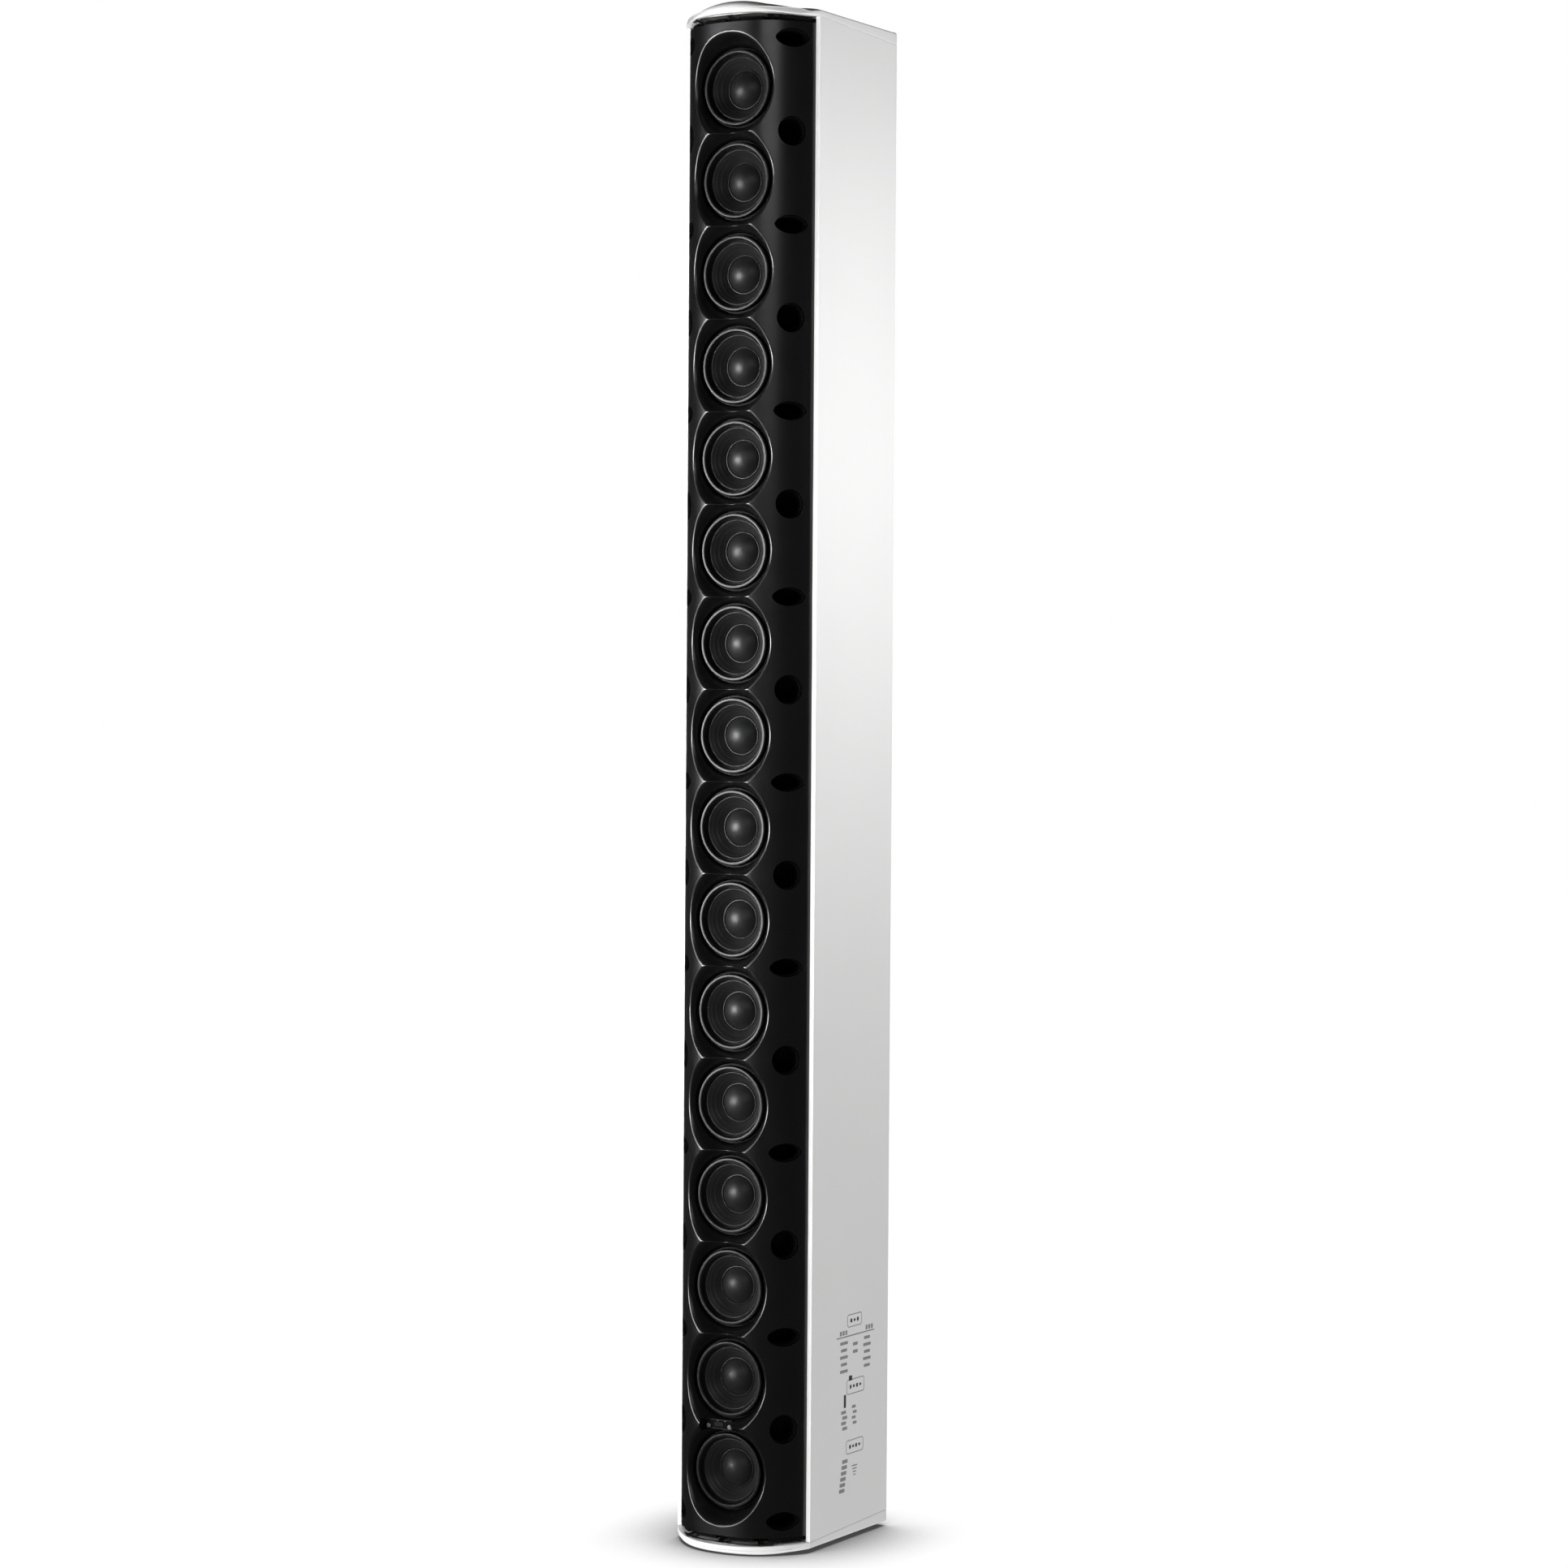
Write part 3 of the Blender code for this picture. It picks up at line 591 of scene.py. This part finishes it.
def cap_outline(inset=None):
    """Plan outline of a cap from the right lip corner round the front.

    Each point moves inwards by its own inset.
    """
    front_steps, side_steps, corner_steps = 96, 12, 6
    outline = []
    for step in range(front_steps + 1):
        share = math.sin(math.pi * (0.5 - step / front_steps))
        outline.append(Vector((HALF * share, LIP_Y - CAP_BULGE * (1 - abs(share) ** CAP_POWER))))
    corner = Vector((-HALF + CAP_CORNER, BACK_Y - CAP_CORNER))
    left = [Vector((-HALF, LIP_Y + (corner.y - LIP_Y) * step / side_steps)) for step in range(1, side_steps)]
    for step in range(corner_steps + 1):
        turn = math.radians(180 - 90 * step / corner_steps)
        left.append(corner + CAP_CORNER * Vector((math.cos(turn), math.sin(turn))))
    outline += left + [Vector((-point.x, point.y)) for point in reversed(left)]
    if inset is None:
        return outline
    moved = []
    for index, point in enumerate(outline):
        along = (outline[(index + 1) % len(outline)] - outline[index - 1]).normalized()
        moved.append(point + Vector((along.y, -along.x)) * inset[index])
    return moved


def cap_seam(y):
    """Height of a cap's seam above its side edge."""
    return CAP_FRONT + (CAP_BACK - CAP_FRONT) * (y - LIP_Y) / (BACK_Y - LIP_Y)


def crown_drop(x, y, top):
    """How far the crowned face lies inside the frame's highest or lowest plane."""
    drop = CROWN * max(0.0, (abs(x) / HALF - CROWN_FLAT) / (1 - CROWN_FLAT)) ** 3
    if top:
        return drop - TOP_RISE * max(0.0, 1 - (x / TOP_RISE_HALF) ** 2) ** 1.5
    return drop + FRONT_LIFT * max(0.0, (LIP_Y - y) / CAP_BULGE) ** 2


def make_cap(name, node, top):
    """Crowned end cap: an upright band, a fine crease and a rounded shoulder that is wide at the front."""
    base = cap_outline()
    frontness = [max(0.0, min(1.0, (LIP_Y - point.y) / (FRONT_SHARE * CAP_BULGE))) for point in base]
    loops = []

    def level(insets, depths):
        flat = cap_outline(insets)
        loops.append([Vector((point.x, point.y, HEIGHT - depth if top else depth))
                      for point, depth in zip(flat, depths)])

    def seam_level(inset, rise):
        level([inset] * len(base), [CROWN + cap_seam(point.y) - rise for point in base])

    seam_level(CAP_LEDGE, 0)
    seam_level(CAP_EDGE, 0)
    seam_level(0.3 * CAP_EDGE, 0.3 * CAP_EDGE)
    seam_level(0, CAP_EDGE)
    crease_rise = [CREASE_FRONT * share + CREASE_SIDE * (1 - share) for share in frontness]
    for inset, below in ((0, -CREASE_HALF), (CREASE_DEPTH, 0), (0, CREASE_HALF)):
        level([inset * share for share in frontness],
              [CROWN + cap_seam(point.y) - rise - below for point, rise in zip(base, crease_rise)])
    extra_high, extra_deep = TOP_SHOULDER if top else BOTTOM_SHOULDER
    shoulder_high = [SHOULDER + extra_high * share for share in frontness]
    shoulder_deep = [SHOULDER + extra_deep * share for share in frontness]
    for step in range(11):
        turn = math.radians(9 * step)
        level([deep * (1 - math.cos(turn)) for deep in shoulder_deep],
              [crown_drop(point.x, point.y, top) + high * (1 - math.sin(turn))
               for point, high in zip(base, shoulder_high)])
    middle = Vector((0, (LIP_Y + BACK_Y) / 2))
    rim = [Vector((point.x, point.y)) for point in loops[-1]]
    for share in (0.93, 0.85, 0.75, 0.65, 0.5, 0.35, 0.2, 0.07):
        flat = [middle + (point - middle) * share for point in rim]
        drops = [crown_drop(point.x, point.y, top) for point in flat]
        loops.append([Vector((point.x, point.y, HEIGHT - drop if top else drop))
                      for point, drop in zip(flat, drops)])
    cap = add_mesh(name, *loft(loops), MOULDED_WHITE, crease=32)
    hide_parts(node)


# ---------------------------------------------------------------- drivers

def scaled(profile):
    """A profile given in millimetres, in metres."""
    return [(radius * MM, y * MM) for radius, y in profile]


def dome_profile(radius, rise, base, steps):
    """Arc of a dust cap from its crest to its edge."""
    ball = (radius ** 2 + rise ** 2) / (2 * rise)
    reach = math.asin(radius / ball)
    return [(ball * math.sin(reach * k / steps), base - rise + ball * (1 - math.cos(reach * k / steps)))
            for k in range(steps + 1)]


def pressed_ring(share, start):
    """Height in millimetres of a faint pressed ring that starts at a share of the cone's width."""
    width, height = 0.12, 0.22
    along = (share - start) / width
    return height * math.sin(math.pi * along) if 0 < along < 1 else 0.0


def cone_profile():
    """Cone from the dust cap's bead to the edge bead, slightly curved, with two pressed rings."""
    steps = 24
    profile = []
    for step in range(steps + 1):
        share = step / steps
        depth = 13.5 - 10.3 * share ** 0.94
        profile.append((18.0 + 9.0 * share, depth - pressed_ring(share, 0.38) - pressed_ring(share, 0.70)))
    return profile


def diaphragm_profile():
    """Outline of the moving parts, front and back, and the spans where the dome and the cone end."""
    dome = dome_profile(radius=16.6, rise=8.8, base=13.4, steps=18)
    dome_bead = [(16.75, 13.3), (16.9, 12.7), (17.2, 12.35), (17.6, 12.4), (17.85, 12.8)]
    edge_bead = [(27.3, 2.95), (27.6, 2.55), (28.0, 2.4), (28.4, 2.6), (28.7, 3.1)]
    cone = dome_bead + cone_profile() + edge_bead
    valley = [(29.0, 3.5), (29.5, 3.6), (29.9, 3.2), (30.3, 1.8), (30.65, -0.6)]
    ring = [(30.6, -0.9), (30.8, -1.9), (31.05, -2.55), (31.4, -2.88), (31.8, -2.98), (32.6, -3.01),
            (33.4, -2.98), (33.8, -2.88), (34.1, -2.55), (34.28, -2.0), (34.28, -1.3), (34.1, -0.6)]
    back = [(34.0, 1.9), (30.6, 4.6), (29.4, 6.6), (18.6, 16.0), (13.5, 19.5), (13.5, 28.0), (12.6, 28.0),
            (12.6, 15.6), (0, 10.6)]
    marks = (len(dome) - 1, len(dome) + len(cone) - 1)
    return scaled(dome + cone + valley + ring + back), marks


def basket_profile():
    """Outline of the fixed frame and magnet, from the axis behind the dust cap."""
    return scaled([(0, 23), (11.9, 23), (11.9, 33), (14.3, 33), (14.3, 24.5), (34.5, 11), (34.5, 2.1),
                   (34.8, 1.7), (36.3, 1.7), (36.6, 2.1), (36.6, 8.8), (41.2, 8.8), (41.2, 11.3), (30, 30),
                   (30, 46), (0, 46)])


def make_driver(number, centre):
    """Diaphragm with its dust cap, cone and surround, and the basket round it."""
    profile, (dome_end, cone_end) = diaphragm_profile()
    points, faces, spans = lathe(profile, 112, centre)
    slots = [0 if span < dome_end else 1 if span < cone_end else 2 for span in spans]
    moving = add_mesh(f"diaphragm_{number:02d}", points, faces, [DOME, PAPER, RUBBER],
                      body=f"driver_{number:02d}", crease=50, slots=slots)
    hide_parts(f"driver_{number:02d}_diaphragm")
    points, faces, _ = lathe(basket_profile(), 72, centre)
    fixed = add_mesh(f"basket_{number:02d}", points, faces, FRAME, crease=40)
    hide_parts(f"driver_{number:02d}_basket")


# ---------------------------------------------------------------- small fittings

def polygon_loop(centre, radius, y, sides, count=24):
    """A loop in the X-Z plane: a circle, or a regular polygon with points along its edges."""
    loop = []
    for step in range(count):
        turn = 2 * math.pi * step / count
        reach = radius
        if sides:
            corner = math.pi / sides
            reach = radius * math.cos(corner) / math.cos(turn % (2 * corner) - corner)
        loop.append((centre[0] + reach * math.cos(turn), y, centre[2] + reach * math.sin(turn)))
    return loop


def socket_screw(centre, radius, facing):
    """Button-head screw with a hexagon socket. Facing is -1 towards the front and +1 towards the back."""
    height, socket = 0.55 * radius, 0.42 * radius
    stages = [(radius * 0.9, -0.25 * height, 0), (radius, 0, 0), (radius, 0.25 * height, 0),
              (radius * 0.93, 0.6 * height, 0), (radius * 0.78, 0.88 * height, 0), (radius * 0.6, height, 0),
              (socket * 1.12, height, 6), (socket, 0.9 * height, 6), (socket, 0.2 * height, 6)]
    return loft([polygon_loop(centre, reach, centre[1] + facing * rise, sides)
                 for reach, rise, sides in stages])


def knob(centre, radius, length, ribs=18):
    """Ribbed cap that stands out to the back."""
    steps = 4 * ribs
    loops = []
    for share, reach in ((0, 0.96), (0.08, 1.0), (0.8, 1.0), (0.95, 0.95), (1.0, 0.86)):
        ribbed = 0 < share < 0.9
        loop = []
        for step in range(steps):
            turn = 2 * math.pi * step / steps
            depth = 0.04 * (step % 4 in (0, 1)) if ribbed else 0.02
            size = radius * (reach - depth)
            loop.append((centre[0] + size * math.cos(turn), centre[1] + share * length,
                         centre[2] + size * math.sin(turn)))
        loops.append(loop)
    return loft(loops)


def add_parts(name, parts, surface, crease=35):
    """One piece made of several closed parts."""
    piece = add_mesh(name, *join(parts), surface, crease=crease)


# ---------------------------------------------------------------- status indicator

def make_indicator():
    """Two screws, two small lamps and two ribs on the indicator's housing."""
    low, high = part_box("indicator_housing")
    face = low.y
    centre_x, centre_z = (low.x + high.x) / 2, (low.z + high.z) / 2
    screws = [socket_screw((x, face - 0.1 * MM, centre_z - 1.8 * MM), 2.1 * MM, -1)
              for x in (low.x + 3.6 * MM, high.x - 3.4 * MM)]
    # the screws and lamps take the painted highlight
    add_parts("indicator_screws", screws, GLINT_ZINC)
    lamp = scaled([(0, -0.85), (0.45, -0.75), (0.75, -0.45), (0.85, 0), (0.85, 0.5), (0, 0.5)])
    lamps = [lathe(lamp, 20, (x, face - 0.2 * MM, centre_z + 3.4 * MM))[:2]
             for x in (centre_x - 1.0 * MM, centre_x + 6.4 * MM)]
    add_parts("indicator_lamps", lamps, GLINT_ZINC)
    left, right = low.x + 0.6 * MM, high.x - 0.6 * MM
    ribs = [rounded_block((left, face - 1.1 * MM, z), (right, face + 0.3 * MM, z + 0.8 * MM), 0.25 * MM)
            for z in (centre_z - 4.4 * MM, centre_z + 3.6 * MM)]
    add_parts("indicator_ribs", ribs, FITTING)


# ---------------------------------------------------------------- side legend

LEGEND_SKIN = 0.08 * MM
LEGEND_ROOT = 0.02 * MM        # the marks start this far under the paint's surface
LEGEND_LINE = 0.8 * MM


def rounded_outline(wide, tall, corner, steps):
    """Outline of a rounded rectangle about its centre."""
    outline = []
    for quarter, (side_u, side_v) in enumerate(((1, 1), (-1, 1), (-1, -1), (1, -1))):
        centre_u, centre_v = side_u * (wide / 2 - corner), side_v * (tall / 2 - corner)
        for step in range(steps + 1):
            turn = math.pi / 2 * (quarter + step / steps)
            outline.append((centre_u + corner * math.cos(turn), centre_v + corner * math.sin(turn)))
    return outline


def side_pad(y, z, wide, tall):
    """A thin printed mark on the right side, at y from the lips and z from the side's lower edge."""
    corner = min(0.3 * MM, 0.3 * min(wide, tall))
    outline = rounded_outline(wide, tall, corner, 2)
    return loft([[(HALF + reach, LIP_Y + y + u * shrink, CROWN + z + v * shrink) for u, v in outline]
                 for reach, shrink in ((-LEGEND_ROOT, 1.0), (LEGEND_SKIN * 0.7, 1.0), (LEGEND_SKIN, 0.96))])


def side_frame(y, z, wide, tall):
    """A rounded outline printed on the right side."""
    outer = rounded_outline(wide, tall, 3.0 * MM, 6)
    inner = rounded_outline(wide - 2 * LEGEND_LINE, tall - 2 * LEGEND_LINE, 2.2 * MM, 6)
    loops = [[(HALF + reach, LIP_Y + y + u, CROWN + z + v) for u, v in outline]
             for reach, outline in ((-LEGEND_ROOT, outer), (LEGEND_SKIN, outer), (LEGEND_SKIN, inner),
                                    (-LEGEND_ROOT, inner))]
    count = len(outer)
    points, faces = loft(loops, closed=False)
    faces += [[3 * count + a, 3 * count + (a + 1) % count, (a + 1) % count, a] for a in range(count)]
    return points, faces


def make_legend():
    """Generic printed marks low on the right side: outlines, bars and dots with no lettering."""
    light, dark = [], []
    frames = ((79.4, 198.4, 27, 12, 3), (81.8, 137.1, 33, 14, 4), (81.1, 81.4, 32, 13, 4))
    for y, z, wide, tall, marks in frames:
        light.append(side_frame(y * MM, z * MM, wide * MM, tall * MM))
        spacing = (wide - 9) / marks
        for number in range(marks):
            along = y + (number - (marks - 1) / 2) * spacing
            dark.append(side_pad(along * MM, z * MM, 0.55 * spacing * MM, (3.4 - number % 2) * MM))
    light.append(side_pad(81.4 * MM, 184.6 * MM, 70 * MM, 1.1 * MM))
    for y in (54, 59, 64, 102, 107, 112):
        light.append(side_pad(y * MM, 188.4 * MM, 3.6 * MM, 4.2 * MM))
    for number in range(5):
        z = (179 - 6.5 * number) * MM
        light.append(side_pad(60 * MM, z, (14 - 3 * (number % 2)) * MM, 2.8 * MM))
        light.append(side_pad(103 * MM, z, (11 + 3 * (number % 2)) * MM, 2.8 * MM))
    for z in (176, 169):
        light.append(side_pad(81 * MM, z * MM, 9 * MM, 3.0 * MM))
    dark.append(side_pad(72.6 * MM, 145.2 * MM, 6.0 * MM, 4.5 * MM))
    dark.append(side_pad(62.3 * MM, 125 * MM, 4.0 * MM, 12 * MM))
    for number in range(4):
        light.append(side_pad((60 + 2.2 * (number % 2)) * MM, (115 - 5 * number) * MM, 9 * MM, 3.0 * MM))
        light.append(side_pad((79 + 1.8 * (number % 2)) * MM, (118 - 5 * number) * MM, 7 * MM, 2.6 * MM))
        light.append(side_pad(81 * MM, (63 - 2.8 * number) * MM, (10 - 2 * number) * MM, 1.1 * MM))
    for number in range(6):
        light.append(side_pad((63 - 1.1 * number) * MM, (69.3 - 5.3 * number) * MM, 10 * MM, 3.4 * MM))
    add_parts("side_legend_light", light, INK, crease=60)
    add_parts("side_legend_dark", dark, DARK_INK, crease=60)


# ---------------------------------------------------------------- rear

TERMINAL_PITCH = 5.08 * MM
CONTACT_PITCH = 1.1 * MM


def node_centre(node):
    """Middle x and z of a node, and the y of its back face."""
    low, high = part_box(node)
    return (low.x + high.x) / 2, (low.z + high.z) / 2, high.y


def make_mains_pins():
    """Three flat blades deep in the mains inlet, and the two screws of its flange."""
    x, z, face = node_centre("mains_inlet")
    blades = [rounded_block((x + u * MM - 1 * MM, face - 14.2 * MM, z + v * MM - 2 * MM),
                            (x + u * MM + 1 * MM, face - 3 * MM, z + v * MM + 2 * MM), 0.5 * MM)
              for u, v in ((-7, -1.5), (0, 2.5), (7, -1.5))]
    add_parts("mains_inlet_blades", blades, SCREW)
    screws = [socket_screw((x + u * MM, face, z), 2.6 * MM, 1) for u in (-18.5, 18.5)]
    add_parts("mains_inlet_screws", screws, SCREW)


def make_fuse_cap():
    """Ribbed cap of the fuse holder with a raised grip."""
    x, z, face = node_centre("fuse_holder")
    cap = knob((x, face - 0.2 * MM, z), 6.6 * MM, 4.2 * MM)
    grip = rounded_block((x - 1.2 * MM, face + 3.6 * MM, z - 4.2 * MM),
                         (x + 1.2 * MM, face + 5.6 * MM, z + 4.2 * MM), 0.6 * MM)
    add_parts("fuse_cap", [cap, grip], FITTING)


def make_terminal(node):
    """Clamp screws above a terminal block's mouth and contact pins inside it."""
    low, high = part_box(node)
    x, z, face = node_centre(node)
    ways = int((high.x - low.x - 8 * MM) / TERMINAL_PITCH)
    places = [x + (number - (ways - 1) / 2) * TERMINAL_PITCH for number in range(ways)]
    screws = [socket_screw((place, face, high.z - 1.7 * MM), 1.1 * MM, 1) for place in places]
    pins = [rounded_block((place - 0.5 * MM, face - 9.2 * MM, z - 0.5 * MM),
                          (place + 0.5 * MM, face - 2.5 * MM, z + 0.5 * MM), 0.2 * MM) for place in places]
    add_parts(f"{node}_screws", screws, SCREW)
    add_parts(f"{node}_pins", pins, GOLD)


def make_network_contacts(node):
    """Eight spring contacts in a network socket and the two lamps over its mouth."""
    x, z, face = node_centre(node)
    half, thick = 0.22 * MM, 0.3 * MM
    section = ((-half, 0), (half, 0), (half, thick), (-half, thick))
    route = ((-12.9, 3.6), (-8.0, 3.0), (-2.2, 0.6), (-1.8, 1.2))
    contacts = []
    for number in range(8):
        place = x + (number - 3.5) * CONTACT_PITCH
        contacts.append(loft([[(place + u, face + depth * MM, z + height * MM + v) for u, v in section]
                              for depth, height in route]))
    add_parts(f"{node}_contacts", contacts, GOLD)
    lamps = [rounded_block((x + (u - 1.4) * MM, face - 0.4 * MM, z + 5.2 * MM),
                           (x + (u + 1.4) * MM, face + 0.3 * MM, z + 6.9 * MM), 0.25 * MM)
             for u in (-4.4, 4.4)]
    add_parts(f"{node}_lamps", lamps, WINDOW)


def make_inserts(node):
    """Threaded sleeves in a bracket plate's four fixing holes."""
    x, z, face = node_centre(node)
    body = [(2.85, -8.5), (2.85, -0.2), (2.6, 0.0), (2.3, -0.1)]
    thread = [(2.3 - 0.18 * (step % 2), -0.5 - 0.4 * step) for step in range(20)]
    profile = scaled(body + thread + body[:1])
    sleeves = [lathe(profile, 32, (x + u * MM, face, z + v * MM))[:2] for u in (-40, 40) for v in (-18, 18)]
    add_parts(f"{node}_inserts", sleeves, GOLD)


def make_rear():
    """Pins, contacts, screws and inserts of the rear fittings, placed from the frame's boxes."""
    low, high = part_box("connector_plate")
    screws = [socket_screw((x, high.y, z), 2.4 * MM, 1) for x in (low.x + 5 * MM, high.x - 5 * MM)
              for z in (low.z + 6 * MM, (low.z + high.z) / 2, high.z - 6 * MM)]
    add_parts("connector_plate_screws", screws, SCREW)
    make_mains_pins()
    make_fuse_cap()
    for node in ("audio_input_terminal", "contact_terminal"):
        make_terminal(node)
    for node in ("network_socket_primary", "network_socket_secondary"):
        make_network_contacts(node)
    for node in ("lower_bracket_plate", "upper_bracket_plate"):
        make_inserts(node)


# ---------------------------------------------------------------- studio

AMBIENT = 0.03
KEY_HEIGHT = 0.78              # the highlights are brightest at the camera's height
FLOOR_REACH = 12.0
FLOOR_DROP = 0.3 * MM
# reach of the painted contact shadow on the floor
PAINTED_SHADOW_REACH = 110 * MM       # the floor darkens where something stands closer than this


def area_light(name, place, target, size, power, glossy=True, diffuse=True, spread=180):
    """A soft rectangular light aimed at a point. Without glossy it leaves no highlight.

    A spread below 180 degrees works like a grid, and keeps the brightness on the light's axis.
    """
    data = bpy.data.lights.new(name, "AREA")
    data.shape = "RECTANGLE"
    data.size, data.size_y = size
    data.energy = power
    if spread < 180:
        half = math.radians(spread) / 2
        data.spread = 2 * half
        data.energy *= 1 - half / math.tan(half)
    light = bpy.data.objects.new(name, data)
    light.location = place
    light.rotation_euler = (Vector(target) - Vector(place)).to_track_quat("-Z", "Y").to_euler()
    light.visible_camera = False
    light.visible_glossy = glossy
    light.visible_diffuse = diffuse
    bpy.context.scene.collection.objects.link(light)


def make_floor():
    """Pale glowing floor with a painted contact shadow: ambient occlusion dims its glow softly where the
    cabinet stands on it.
    """
    mesh = bpy.data.meshes.new("floor")
    corners = [(FLOOR_REACH * u, FLOOR_REACH * v, 0) for u, v in ((-1, -1), (1, -1), (1, 1), (-1, 1))]
    mesh.from_pydata(corners, [], [(0, 1, 2, 3)])
    floor = bpy.data.objects.new("floor", mesh)
    floor.location.z = -FLOOR_DROP
    bpy.context.scene.collection.objects.link(floor)
    paper = bpy.data.materials.new("floor_glow_painted_shadow")
    paper.use_nodes = True
    tree = paper.node_tree
    tree.nodes.clear()
    # painted shadow: ambient occlusion, not the lights, dims the floor's glow near the cabinet
    contact = tree.nodes.new("ShaderNodeAmbientOcclusion")
    contact.inputs["Distance"].default_value = PAINTED_SHADOW_REACH
    contact.samples = 12
    curve = tree.nodes.new("ShaderNodeMapRange")
    curve.inputs["From Min"].default_value = 0.36
    curve.inputs["From Max"].default_value = 0.95
    curve.inputs["To Min"].default_value = 0.06
    curve.inputs["To Max"].default_value = 1.02
    glow = tree.nodes.new("ShaderNodeEmission")
    out = tree.nodes.new("ShaderNodeOutputMaterial")
    tree.links.new(contact.outputs["AO"], curve.inputs["Value"])
    tree.links.new(curve.outputs["Result"], glow.inputs["Strength"])
    tree.links.new(glow.outputs["Emission"], out.inputs["Surface"])
    mesh.materials.append(paper)
    floor.visible_diffuse = False
    floor.visible_glossy = False
    floor.visible_shadow = False


def make_world():
    """White beyond the floor, and a low even light on the object."""
    world = bpy.data.worlds.new("studio")
    bpy.context.scene.world = world
    world.use_nodes = True
    tree = world.node_tree
    background = tree.nodes["Background"]
    path = tree.nodes.new("ShaderNodeLightPath")
    level = tree.nodes.new("ShaderNodeMix")
    level.data_type = "FLOAT"
    level.inputs["A"].default_value = AMBIENT
    level.inputs["B"].default_value = 1.0
    tree.links.new(path.outputs["Is Camera Ray"], level.inputs["Factor"])
    tree.links.new(level.outputs["Result"], background.inputs["Strength"])
    background.inputs["Color"].default_value = (1, 1, 1, 1)


def make_studio():
    """Floor, world and lights. The key and the high softbox make the black parts' highlights.

    The others light the white faces and leave no highlight on the front.
    """
    make_floor()
    make_world()
    area_light("key_softbox", (-1.60, -2.15, KEY_HEIGHT), (0, 0, KEY_HEIGHT), (1.8, 0.95), 400,
               diffuse=False, spread=31)
    area_light("key_fill", (-1.35, -2.40, 0.70), (0, 0, 0.70), (1.7, 1.9), 88, glossy=False)
    area_light("high_softbox", (1.60, -2.60, 2.15), (0, 0, 1.35), (2.0, 1.2), 10, diffuse=False)
    area_light("side_spot", (0.68, 0.03, 1.05), (0, 0.03, 1.05), (0.3, 0.3), 3.2, glossy=False)
    area_light("side_softbox", (2.6, 0.5, 0.35), (0, 0.03, 0.3), (1.2, 1.2), 8, glossy=False)
    area_light("back_softbox", (-0.9, 3.0, 1.0), (0, 0, 0.7), (1.4, 1.6), 50)
    area_light("floor_bounce", (0, 0, -1 * MM), (0, 0, 1), (5.0, 5.0), 75, glossy=False)
    bpy.context.scene.view_settings.view_transform = "Standard"


# The photograph's viewpoint, solved from the object's own proportions
CAMERA_PLACE = (1.8314, -3.0790, 0.7766)
CAMERA_TURN = math.radians(30.622)
CAMERA_TILT = math.radians(-1.272)
CAMERA_ROLL = math.radians(0.380)
CAMERA_LENS = 88.99
CAMERA_SENSOR = 36.0


def make_camera():
    """Camera at the photograph's viewpoint."""
    turn, tilt = CAMERA_TURN, CAMERA_TILT
    data = bpy.data.cameras.new("camera")
    data.sensor_width = CAMERA_SENSOR
    data.lens = CAMERA_LENS
    data.clip_end = 60
    camera = bpy.data.objects.new("camera", data)
    forward = Vector((-math.sin(turn) * math.cos(tilt), math.cos(turn) * math.cos(tilt), math.sin(tilt)))
    right = Vector((math.cos(turn), math.sin(turn), 0))
    basis = Matrix((right, right.cross(forward), -forward)).transposed().to_4x4()
    camera.matrix_world = Matrix.Translation(CAMERA_PLACE) @ basis @ Matrix.Rotation(CAMERA_ROLL, 4, "Z")
    bpy.context.scene.collection.objects.link(camera)
    bpy.context.scene.camera = camera


# ---------------------------------------------------------------- assembly

FINISHES = (
    # nodes, finish, rounded edge
    ("cabinet_extrusion", PAINT, 0.4 * MM),
    ("upper_grille_clips lower_grille_clips", STEEL, 0.15 * MM),
    # the indicator's housing takes the near-black painted shade
    ("indicator_housing", SHADE_FOAM, 0.3 * MM),
    ("indicator_lens", WINDOW, 0.2 * MM),
    ("rear_heatsink upper_bracket_plate lower_bracket_plate connector_plate", ANODISED, 0.3 * MM),
    ("mains_inlet fuse_holder", FITTING, 0.5 * MM),
    ("audio_input_terminal contact_terminal", GREEN, 0.3 * MM),
    ("network_socket_primary network_socket_secondary", ZINC, 0.3 * MM),
    ("power_supply amplifier_module_lower amplifier_module_upper", ZINC, 0.8 * MM),
    ("signal_processor_board", BOARD, 0.2 * MM),
    ("wiring_trunk", SLEEVE, 2.0 * MM),
)


def main():
    """Camera and studio, then every piece, then the finishes of the CAD nodes that stay."""
    make_camera()
    make_studio()
    make_baffle()
    make_port_liners()
    make_cap("top_cap_shell", "top_cap", True)
    make_cap("bottom_cap_shell", "bottom_cap", False)
    for number, centre in enumerate(CENTRES, start=1):
        make_driver(number, centre)
    make_indicator()
    make_legend()
    make_rear()
    for nodes, surface, edge in FINISHES:
        for node in nodes.split():
            dress(node, surface, edge)


main()
